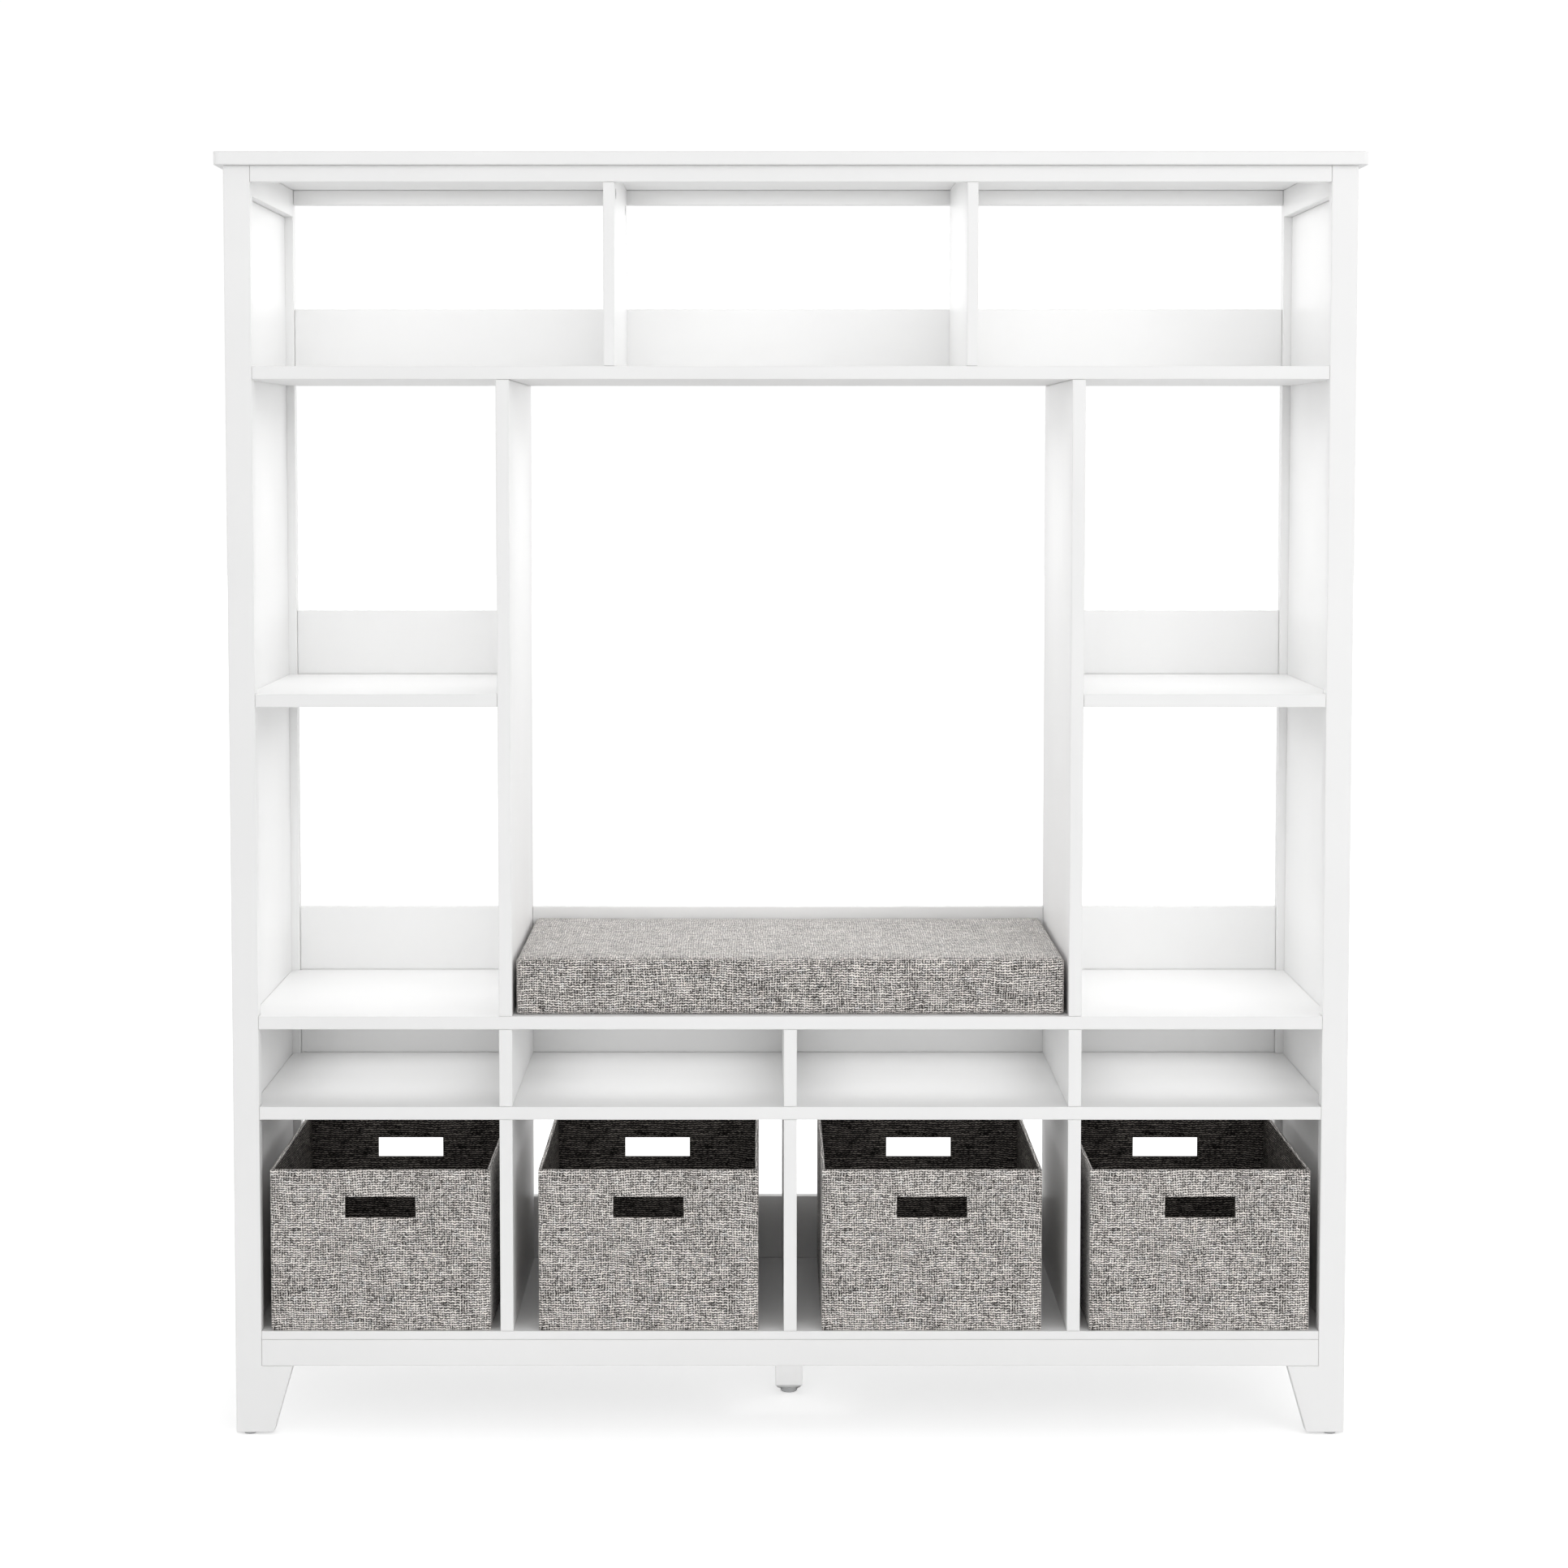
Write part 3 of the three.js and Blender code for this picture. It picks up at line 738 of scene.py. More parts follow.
@dataclass(frozen=True)
class SatinPaint(Finish):
    """Sprayed satin lacquer on board: faint orange peel, and a little rubbing at the edges."""

    tone: tuple[float, float, float] = (0.9, 0.9, 0.898)
    rubbed: tuple[float, float, float] = (0.74, 0.735, 0.72)
    dusty: tuple[float, float, float] = (0.78, 0.77, 0.75)
    roughness: float = 0.38
    peel: float = 0.00004

    def draw(self, sheet: Sheet, shader: Node) -> None:
        """Paint with slow clouds in its tone, rubbed edges, a trace of dust and a fine orange peel.

        Args:
            sheet: The material's sheet.
            shader: Its Principled shader.
        """
        grain = placed_group(sheet, grain_group(), Fine_Scale=520.0, Slow_Scale=2.6)
        wear = placed_group(sheet, edge_wear_group(), Scale=70.0, Amount=0.35)
        dust = placed_group(sheet, settled_dust_group(), Scale=8.0, Amount=0.03)
        paint = rgb(*self.tone)
        shade = rgb(*(0.965 * value for value in self.tone))
        base = sheet.mix(sheet.mapped(grain.outputs["Cloud"], (0.35, 0.7), (0, 1)), paint, shade)
        base = sheet.mix(wear.outputs["Mask"], base, rgb(*self.rubbed))
        base = sheet.mix(dust.outputs["Mask"], base, rgb(*self.dusty))
        sheet.feed(shader.inputs["Base Color"], base)
        rough = sheet.mapped(grain.outputs["Cloud"], (0.3, 0.7), (self.roughness, self.roughness + 0.08))
        rough = sheet.math("ADD", rough, sheet.math("MULTIPLY", wear.outputs["Mask"], 0.3))
        sheet.feed(shader.inputs["Roughness"], rough)
        feeds = {"Height": grain.outputs["Height"], "Strength": 0.35, "Distance": self.peel}
        sheet.feed(shader.inputs["Normal"], sheet.add("ShaderNodeBump", feeds).outputs[0])


@dataclass(frozen=True)
class WovenCloth(Finish):
    """Plain-woven cloth of slubby threads in a run of tones."""

    pitch: float = 0.0034
    # The darkest colour, which the gaps between threads reach as painted shade.
    dark: tuple[float, float, float] = (0.025, 0.022, 0.02)
    light: tuple[float, float, float] = (1.0, 0.95, 0.905)
    tones: tuple[float, float] = (0.3, 0.78)
    relief: float = 0.0007
    # Below 1, this is painted shade on the warp in the gaps.
    warp_light: float = 0.78
    slimness: float = 1.5
    dash: float = 0.62
    wander: float = 3.0
    sway: float = 0.11
    slack: float = 0.6
    sheen: float = 0.35
    fleck: float = 0.05
    cool: tuple[float, float, float] = (0.80, 0.95, 1.08)
    warm: tuple[float, float, float] = (1.06, 0.96, 0.92)

    def draw(self, sheet: Sheet, shader: Node) -> None:
        """Threads between the dark and light tones, flecked warm and cool, in relief.

        Args:
            sheet: The material's sheet.
            shader: Its Principled shader.
        """
        place = sheet.add("ShaderNodeUVMap", uv_map=WOVEN_UV).outputs[0]
        weave = placed_group(
            sheet,
            weave_group(),
            Place=place,
            Pitch=(self.pitch, self.pitch, 1.0),
            Wander=self.wander,
            Sway=self.sway,
            Slack=self.slack,
            Warp_Light=self.warp_light,
            Slimness=self.slimness,
            Dash=self.dash,
        )
        height = weave.outputs["Height"]
        # The weave's tone holds the threads' own tones, and painted shade in their gaps and on their
        # sides.
        tone = sheet.mapped(weave.outputs["Tone"], self.tones, (0, 1))
        patches = sheet.noise(place, 28.0, 3.0, 0.6).outputs[0]
        slow = sheet.mapped(patches, (0.3, 0.7), (-0.05, 0.05))
        tone = sheet.add("ShaderNodeMath", {0: tone, 1: slow}, operation="ADD", use_clamp=True)
        base = sheet.mix(tone.outputs[0], rgb(*self.dark), rgb(*self.light))
        hue = sheet.noise(place, 90.0, 2.0).outputs[0]
        cool = sheet.mapped(hue, (0.56, 0.7), (0, self.fleck * 4))
        warm = sheet.mapped(hue, (0.44, 0.3), (0, self.fleck * 4))
        base = sheet.mix(cool, base, rgb(*self.cool), "MULTIPLY")
        base = sheet.mix(warm, base, rgb(*self.warm), "MULTIPLY")
        sheet.feed(shader.inputs["Base Color"], base)
        sheet.feed(shader.inputs["Roughness"], sheet.mapped(height, (0, 1), (0.98, 0.86)))
        shader.inputs["Sheen Weight"].default_value = self.sheen
        shader.inputs["Sheen Roughness"].default_value = 0.45
        shader.inputs["Specular IOR Level"].default_value = 0.25
        near = sheet.add("ShaderNodeAttribute", attribute_name=SEAM_ATTRIBUTE).outputs["Fac"]
        lifted = sheet.math("MULTIPLY_ADD", near, -2.0, height)
        feeds = {"Height": lifted, "Strength": 0.8, "Distance": self.relief}
        sheet.feed(shader.inputs["Normal"], sheet.add("ShaderNodeBump", feeds).outputs[0])


@dataclass(frozen=True)
class CastZinc(Finish):
    """Tumbled zinc casting: grey, uneven, half dull."""

    tone: tuple[float, float, float] = (0.2, 0.2, 0.205)

    def draw(self, sheet: Sheet, shader: Node) -> None:
        """Metal whose tone and gloss follow the same clouds, over a fine cast grain.

        Args:
            sheet: The material's sheet.
            shader: Its Principled shader.
        """
        grain = placed_group(sheet, grain_group(), Fine_Scale=1600.0, Slow_Scale=220.0)
        darker = rgb(*(0.6 * value for value in self.tone))
        base = sheet.mix(grain.outputs["Cloud"], darker, rgb(*self.tone))
        sheet.feed(shader.inputs["Base Color"], base)
        rough = sheet.mapped(grain.outputs["Cloud"], (0.3, 0.7), (0.32, 0.5))
        sheet.feed(shader.inputs["Roughness"], rough)
        shader.inputs["Metallic"].default_value = 0.9
        feeds = {"Height": grain.outputs["Height"], "Strength": 0.4, "Distance": 0.0001}
        sheet.feed(shader.inputs["Normal"], sheet.add("ShaderNodeBump", feeds).outputs[0])


@dataclass(frozen=True)
class MouldedPlastic(Finish):
    """Spark-eroded moulded plastic."""

    tone: tuple[float, float, float] = (0.42, 0.425, 0.43)
    dusty: tuple[float, float, float] = (0.6, 0.59, 0.57)
    roughness: float = 0.5

    def draw(self, sheet: Sheet, shader: Node) -> None:
        """Grey plastic with an even grain and a little dust on top.

        Args:
            sheet: The material's sheet.
            shader: Its Principled shader.
        """
        grain = placed_group(sheet, grain_group(), Fine_Scale=2400.0, Slow_Scale=40.0)
        dust = placed_group(sheet, settled_dust_group(), Scale=60.0, Amount=0.3)
        darker = rgb(*(0.88 * value for value in self.tone))
        base = sheet.mix(grain.outputs["Cloud"], darker, rgb(*self.tone))
        base = sheet.mix(dust.outputs["Mask"], base, rgb(*self.dusty))
        sheet.feed(shader.inputs["Base Color"], base)
        rough = sheet.mapped(grain.outputs["Cloud"], (0.3, 0.7), (self.roughness, self.roughness + 0.1))
        sheet.feed(shader.inputs["Roughness"], rough)
        feeds = {"Height": grain.outputs["Height"], "Strength": 0.5, "Distance": 0.00006}
        sheet.feed(shader.inputs["Normal"], sheet.add("ShaderNodeBump", feeds).outputs[0])


@dataclass(frozen=True)
class StudioFloor(Finish):
    """Seamless white floor, which brightens into the background away from the object."""

    tone: float = 0.93
    near: float = 0.8
    far: float = 2.6
    glow: tuple[float, float] = (0.4, 0.8)

    def draw(self, sheet: Sheet, shader: Node) -> None:
        """Pale floor that glows more, to the camera alone, the farther it lies from the middle.

        Args:
            sheet: The material's sheet.
            shader: Its Principled shader.
        """
        place = sheet.add("ShaderNodeTexCoord").outputs["Object"]
        reach = sheet.add("ShaderNodeVectorMath", {0: place}, operation="LENGTH").outputs["Value"]
        seen = sheet.add("ShaderNodeLightPath").outputs["Is Camera Ray"]
        glow = sheet.mapped(reach, (self.near, self.far), self.glow)
        glow = sheet.math("MULTIPLY", glow, seen)
        grain = placed_group(sheet, grain_group(), Fine_Scale=300.0, Slow_Scale=1.5)
        shade = sheet.mix(grain.outputs["Cloud"], rgb(*[self.tone] * 3), rgb(*[self.tone * 0.99] * 3))
        sheet.feed(shader.inputs["Base Color"], shade)
        shader.inputs["Roughness"].default_value = 0.7
        shader.inputs["Specular IOR Level"].default_value = 0.2
        shader.inputs["Emission Strength"].default_value = 1.0
        colour = sheet.add("ShaderNodeCombineColor", {0: glow, 1: glow, 2: glow}).outputs[0]
        sheet.feed(shader.inputs["Emission Color"], colour)


PAINT = SatinPaint("satin_white_paint")
TWEED = WovenCloth("grey_tweed_cloth")
# Lining for the bins' insides, hand-hole edges and base boards: a darker copy of the tweed. Its dark
# tones are partly a real lining and partly painted shade of the bins' insides. Its warp is dimmed
# further as painted shade.
LINING = WovenCloth(
    "dark_lining_cloth",
    dark=(0.008, 0.007, 0.006),
    light=(0.5, 0.46, 0.42),
    tones=(0.35, 1.05),
    warp_light=0.4,
    sheen=0.0,
    fleck=0.0,
)
ZINC = CastZinc("cast_zinc")
PLASTIC = MouldedPlastic("grey_moulded_plastic")
FLOOR = StudioFloor("studio_floor")


# ---------------------------------------------------------------- placing pieces


def body_of(node: str) -> str:
    """The body that a CAD node rides."""
    return frame["nodes"][node]["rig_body"]


def place_piece(name: str, mesh: bpy.types.Mesh, node: str, slot: Slot, *finishes: Finish) -> Object:
    """Puts a new piece in the scene in place of a CAD node.

    Args:
        name: The piece's name.
        mesh: Its mesh, with its place in its points.
        node: The CAD node that it stands for and whose body it rides.
        slot: The record's finish that it stands for; not used.
        *finishes: Its materials, in the order of its faces' material numbers.

    Returns:
        The new object.
    """
    piece = bpy.data.objects.new(name, mesh)
    bpy.context.scene.collection.objects.link(piece)
    for finish in finishes:
        mesh.materials.append(finish.material())
    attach(piece, body_of(node))
    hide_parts(node)
    log.info("%s stands for %s: %d faces", name, node, len(mesh.polygons))
    return piece


def bored(mesh: bpy.types.Mesh, tools: Sequence[Surface]) -> bpy.types.Mesh:
    """Cuts tools out of a mesh.

    Args:
        mesh: The mesh to cut.
        tools: Closed surfaces to take away.

    Returns:
        A new mesh with the tools cut out.
    """
    scene = bpy.context.scene
    blank = bpy.data.objects.new("blank", mesh)
    scene.collection.objects.link(blank)
    cutters = []
    for number, tool in enumerate(tools):
        cutter = bpy.data.objects.new(f"cutter_{number}", tool.mesh(f"cutter_{number}"))
        scene.collection.objects.link(cutter)
        cutters.append(cutter)
        cut = blank.modifiers.new(f"bore_{number}", "BOOLEAN")
        cut.operation = "DIFFERENCE"
        cut.solver = "EXACT"
        cut.object = cutter
    bpy.context.view_layer.update()
    graph = bpy.context.evaluated_depsgraph_get()
    result = bpy.data.meshes.new_from_object(blank.evaluated_get(graph))
    result.name = mesh.name
    for thing in [blank, *cutters]:
        bpy.data.objects.remove(thing)
    result.set_sharp_from_angle(angle=math.radians(50))
    return result


# ---------------------------------------------------------------- painted boards


@dataclass(frozen=True)
class PaintedCabinet:
    """The fixed cabinet: posts, boards, rails and backs, all in satin white paint."""

    ease: float = 0.0007
    margin: float = 0.003
    seam: float = 0.0003
    toe_width: float = 0.052
    groove_depth: float = 0.006
    nose_radius: float = 0.008
    nose_steps: int = 9
    nose_ease: float = 0.0001
    top_ease: float = 0.0012
    cam_bore: float = 0.0078
    cam_depth: float = 0.0123
    chamfer: tuple[float, float] = (0.008, 0.0065)
    chamfer_margin: float = 0.001
    chamfer_ease: float = 0.0002
    stem_bore: float = 0.0043
    stem_clearance: float = 0.0004
    overcut: float = 0.002

    def _board(self, corners: Array, axis: Axis, span: Sequence[float]) -> Surface:
        """A board of a given outline between two heights, all its edges eased.

        Args:
            corners: The outline's corners, in either order.
            axis: The direction of the board's thickness.
            span: Its lower and upper faces along that direction.

        Returns:
            The board's surface.
        """
        outline = Outline(counter_clockwise(corners), self.ease)
        profile, kind = eased_profile(span[0], span[1], self.ease, self.margin)
        return carried(outline, profile, axis, kind)

    def _place(self, node: str, surface: Surface) -> Object:
        """Places a painted board for its node."""
        return place_piece(f"painted_{node}", surface.mesh(node), node, Slot.PAINT, PAINT)

    def plain_board(self, node: str, low: Vector | None = None, high: Vector | None = None) -> Object:
        """A rectangular board, carried along its thinnest direction.

        Args:
            node: The board's CAD node.
            low: Its lowest corner, where that isn't the node's own.
            high: Its highest corner, where that isn't the node's own.

        Returns:
            The board.
        """
        box_low, box_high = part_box(node)
        low = np.array(low or box_low)
        high = np.array(high or box_high)
        axis = Axis(int(np.argmin(high - low)))
        first, second, along = axis.order
        corners = rectangle((low[first], low[second]), (high[first], high[second]))
        surface = self._board(corners, axis, (low[along], high[along]))
        return self._place(node, surface)

    def shelf(self, node: str) -> Object:
        """A shelf notched round the posts at the ends that reach a side panel.

        Args:
            node: The shelf's CAD node.

        Returns:
            The shelf.
        """
        low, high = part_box(node)
        front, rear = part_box("post_front_right")[1].y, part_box("post_rear_right")[0].y
        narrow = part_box("side_top_rail_right")[0].x - self.seam
        front, rear = front + self.seam, rear - self.seam
        ends = []
        for x in (high.x, low.x):
            inner = math.copysign(narrow, x)
            notched = [(inner, low.y), (inner, front), (x, front)]
            notched += [(x, rear), (inner, rear), (inner, high.y)]
            plain = [(x, low.y), (x, high.y)]
            ends.append(plain if abs(x) < narrow + self.seam else notched)
        corners = np.array(ends[0] + ends[1][::-1])
        return self._place(node, self._board(corners, Axis.Z, (low.z, high.z)))

    def post(self, node: str) -> Object:
        """A straight post whose foot flares inwards below the bottom rail.

        Args:
            node: The post's CAD node.

        Returns:
            The post.
        """
        low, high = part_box(node)
        side = 1 if node.endswith("right") else -1
        rail_low, rail_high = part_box("side_bottom_rail_" + ("right" if side > 0 else "left"))
        outer, flare = (high.x, low.x) if side > 0 else (low.x, high.x)
        inner = rail_low.x if side > 0 else rail_high.x
        shoulder = rail_low.z - self.seam
        toe = outer - side * self.toe_width
        corners = [
            (low.z, outer),
            (high.z, outer),
            (high.z, inner),
            (shoulder, inner),
            (shoulder, flare),
            (low.z, toe),
        ]
        surface = self._board(np.array(corners), Axis.Y, (low.y, high.y))
        return self._place(node, surface)

    def side_panel(self, node: str) -> Object:
        """The thin panel between posts and rails; its hidden tongues are left off.

        Args:
            node: The panel's CAD node.

        Returns:
            The panel.
        """
        low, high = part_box(node)
        inset = Vector((0, self.groove_depth + self.seam, self.groove_depth + self.seam))
        return self.plain_board(node, low + inset, high - inset)

    def top_board(self) -> Object:
        """The top board, its two front corners rounded in plan.

        Returns:
            The top board.
        """
        low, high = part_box("top_board")
        nose = self.nose_radius
        angle = np.radians(np.linspace(180, 270, self.nose_steps))[:, None]
        arc = nose * np.concatenate([np.cos(angle), np.sin(angle)], axis=1)
        left = arc + [low.x + nose, low.y + nose]
        right = (arc * [-1, 1])[::-1] + [high.x - nose, low.y + nose]
        corners = np.concatenate([left, right, [[high.x, high.y], [low.x, high.y]]])
        corners, ease = counter_clockwise(corners), self.nose_ease
        outline = Outline(corners, ease, steps=1, margin=4 * ease)
        profile, kind = eased_profile(low.z, high.z, self.top_ease, self.margin)
        return self._place("top_board", carried(outline, profile, Axis.Z, kind))

    def upper_divider(self, word: str) -> Object:
        """An upper divider, notched round the apron and bored for its two cam locks.

        Args:
            word: Its side, left or right.

        Returns:
            The divider.
        """
        node = f"upper_divider_{word}"
        low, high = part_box(node)
        apron_low, apron_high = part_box("front_apron")
        step_y, step_z = apron_high.y + self.seam, apron_low.z - self.seam
        corners = np.array(
            [
                (low.y, low.z),
                (high.y, low.z),
                (high.y, high.z),
                (step_y, high.z),
                (step_y, step_z),
                (low.y, step_z),
            ]
        )
        surface = self._board(corners, Axis.X, (low.x, high.x))
        bores = [self._cam_bore(f"cam_lock_{where}_{word}", high.x) for where in ("front", "rear")]
        mesh = bored(surface.mesh(node), bores)
        return place_piece(f"painted_{node}", mesh, node, Slot.PAINT, PAINT)

    def _cam_bore(self, node: str, face: float) -> Surface:
        """A round tool lying along X, a little wider than a cam lock.

        Args:
            node: The cam lock's CAD node.
            face: Where the face that it is bored from stands along X.

        Returns:
            The tool.
        """
        low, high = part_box(node)
        middle = (low + high) / 2
        ends = (face - self.cam_depth, face + self.overcut)
        profile = np.array([[self.cam_bore, end] for end in ends])
        tool = turned(profile, (middle.y, middle.z))
        tool.points = tool.points[:, [2, 0, 1]]
        return tool

    def centre_support(self) -> Object:
        """A square block under the middle, its lower edges chamfered and its foot bored.

        Returns:
            The block.
        """
        low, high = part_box("centre_support")
        width, height = self.chamfer
        outline = Outline(rectangle((low.x, low.y), (high.x, high.y)), self.ease)
        shoulder = low.z + height
        top, kind = eased_profile(low.z, high.z, self.ease, self.margin)
        upper = top[top[:, 1] > shoulder]
        lower = [[width + self.chamfer_margin, low.z], [width, low.z], [self.chamfer_ease, shoulder]]
        profile = np.concatenate([lower, upper])
        kinds = np.r_[-1, 1, 1, kind[-len(upper) :]]
        surface = carried(outline, profile, Axis.Z, kinds)
        stem_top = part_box("centre_leveller")[1].z + self.stem_clearance
        centre = (low + high) / 2
        bore = np.array([[self.stem_bore, low.z - self.overcut], [self.stem_bore, stem_top]])
        tool = turned(bore, (centre.x, centre.y), 48)
        mesh = bored(surface.mesh("centre_support"), [tool])
        return place_piece("painted_centre_support", mesh, "centre_support", Slot.PAINT, PAINT)

    def build(self) -> None:
        """Builds every painted piece."""
        done = {"top_board", "centre_support"}
        self.top_board()
        self.centre_support()
        for word in ("left", "right"):
            self.upper_divider(word)
            done.add(f"upper_divider_{word}")
        for node in sorted(frame["nodes"]):
            if body_of(node) != "cabinet" or node in done:
                continue
            if node.startswith("post_"):
                self.post(node)
            elif node.startswith("side_panel"):
                self.side_panel(node)
            elif "shelf" in node or node == "bench_top":
                self.shelf(node)
            elif not node.startswith(("cam_lock", "corner_glide")):
                self.plain_board(node)


# ---------------------------------------------------------------- floor hardware and cam locks


@dataclass(frozen=True)
class FloorHardware:
    """The turned plastic parts that stand on the floor, and the cam locks' metal."""

    glide_height: float = 0.003
    nail_head: float = 0.0034
    nail_sink: float = 0.0009
    nail_bevel: float = 0.0006
    nail_lip: float = 0.0004
    nail_gap: float = 0.0005
    pinhole: float = 0.0001
    brim_ease: tuple[float, float] = (0.0004, 0.0003)
    thread_pitch: float = 0.00125
    thread_depth: float = 0.0007
    pad_height: float = 0.0073
    pad_rounding: float = 0.002
    pad_ease: float = 0.0006
    stem_radius: float = 0.004
    around: int = 48

    def corner_glide(self, node: str) -> Object:
        """A low domed pad with a sunk nail head: a profile turned about the nail.

        Args:
            node: The glide's CAD node.

        Returns:
            The glide.
        """
        low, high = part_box(node)
        radius = (high.x - low.x) / 2
        height = self.glide_height
        dome = 0.45 * height
        rim = quarter(dome, -90, 5) + [radius - dome, low.z + dome]
        head, sunk = self.nail_head, low.z + self.nail_sink
        across, down = self.brim_ease
        nail = [[self.pinhole, sunk], [head - self.nail_bevel, sunk], [head, low.z + self.nail_lip]]
        sole = [[head + self.nail_gap, low.z]]
        top = [[radius, low.z + height - down], [radius - across, low.z + height]]
        profile = np.concatenate([nail, sole, rim, top])
        centre = (low + high) / 2
        surface = turned(profile, (centre.x, centre.y))
        return place_piece(f"pad_{node}", surface.mesh(node), node, Slot.PLASTIC, PLASTIC)

    def leveller(self) -> Object:
        """The screw foot. Its stem's radius falls and rises with height less angle, as a thread.

        Returns:
            The screw foot.
        """
        low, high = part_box("centre_leveller")
        centre = (low + high) / 2
        radius, stem, ease = (high.x - low.x) / 2, self.stem_radius, self.pad_ease
        shelf = low.z + self.pad_height
        rim = quarter(self.pad_rounding, -90, 6)
        rim += [radius - self.pad_rounding, low.z + self.pad_rounding]
        shoulder = quarter(ease, 0, 3) + [radius - ease, shelf - ease]
        sole = [[0.05 * stem, low.z], [radius - stem, low.z]]
        collar = [[1.375 * stem, shelf], [0.95 * stem, shelf]]
        foot = np.concatenate([sole, rim, shoulder, collar])
        rises = np.arange(shelf + ease, high.z - 0.25 * stem, self.thread_pitch / 8)
        shank = np.stack([np.full(len(rises), stem), rises], axis=1)
        tip = [[0.75 * stem, high.z - 0.025 * stem], [0.45 * stem, high.z]]
        profile = np.concatenate([foot, shank, tip])
        surface = turned(profile, (0.0, 0.0), self.around)
        points = surface.points.reshape(len(profile), self.around, 3)
        thread = points[len(foot) : len(foot) + len(shank)]
        angle = np.arctan2(thread[..., 1], thread[..., 0]) / (2 * np.pi)
        phase = (thread[..., 2] / self.thread_pitch - angle) % 1.0
        groove = self.thread_depth * (1 - np.abs(2 * phase - 1))
        thread[..., :2] *= (1 - groove / stem)[..., None]
        surface.points = points.reshape(-1, 3) + [centre.x, centre.y, 0]
        mesh = surface.mesh("centre_leveller")
        return place_piece("screw_foot", mesh, "centre_leveller", Slot.PLASTIC, PLASTIC)

    def cam_locks(self) -> None:
        """Gives the cam locks' own solids their metal."""
        for node, solid in frame["nodes"].items():
            if node.startswith("cam_lock"):
                solid.data.materials.clear()
                solid.data.materials.append(ZINC.material())
                log.info("%s keeps its solid, in cast zinc", node)

    def build(self) -> None:
        """Builds every glide and the screw foot, and dresses the cam locks."""
        for node in sorted(frame["nodes"]):
            if node.startswith("corner_glide"):
                self.corner_glide(node)
        self.leveller()
        self.cam_locks()


# ---------------------------------------------------------------- bins


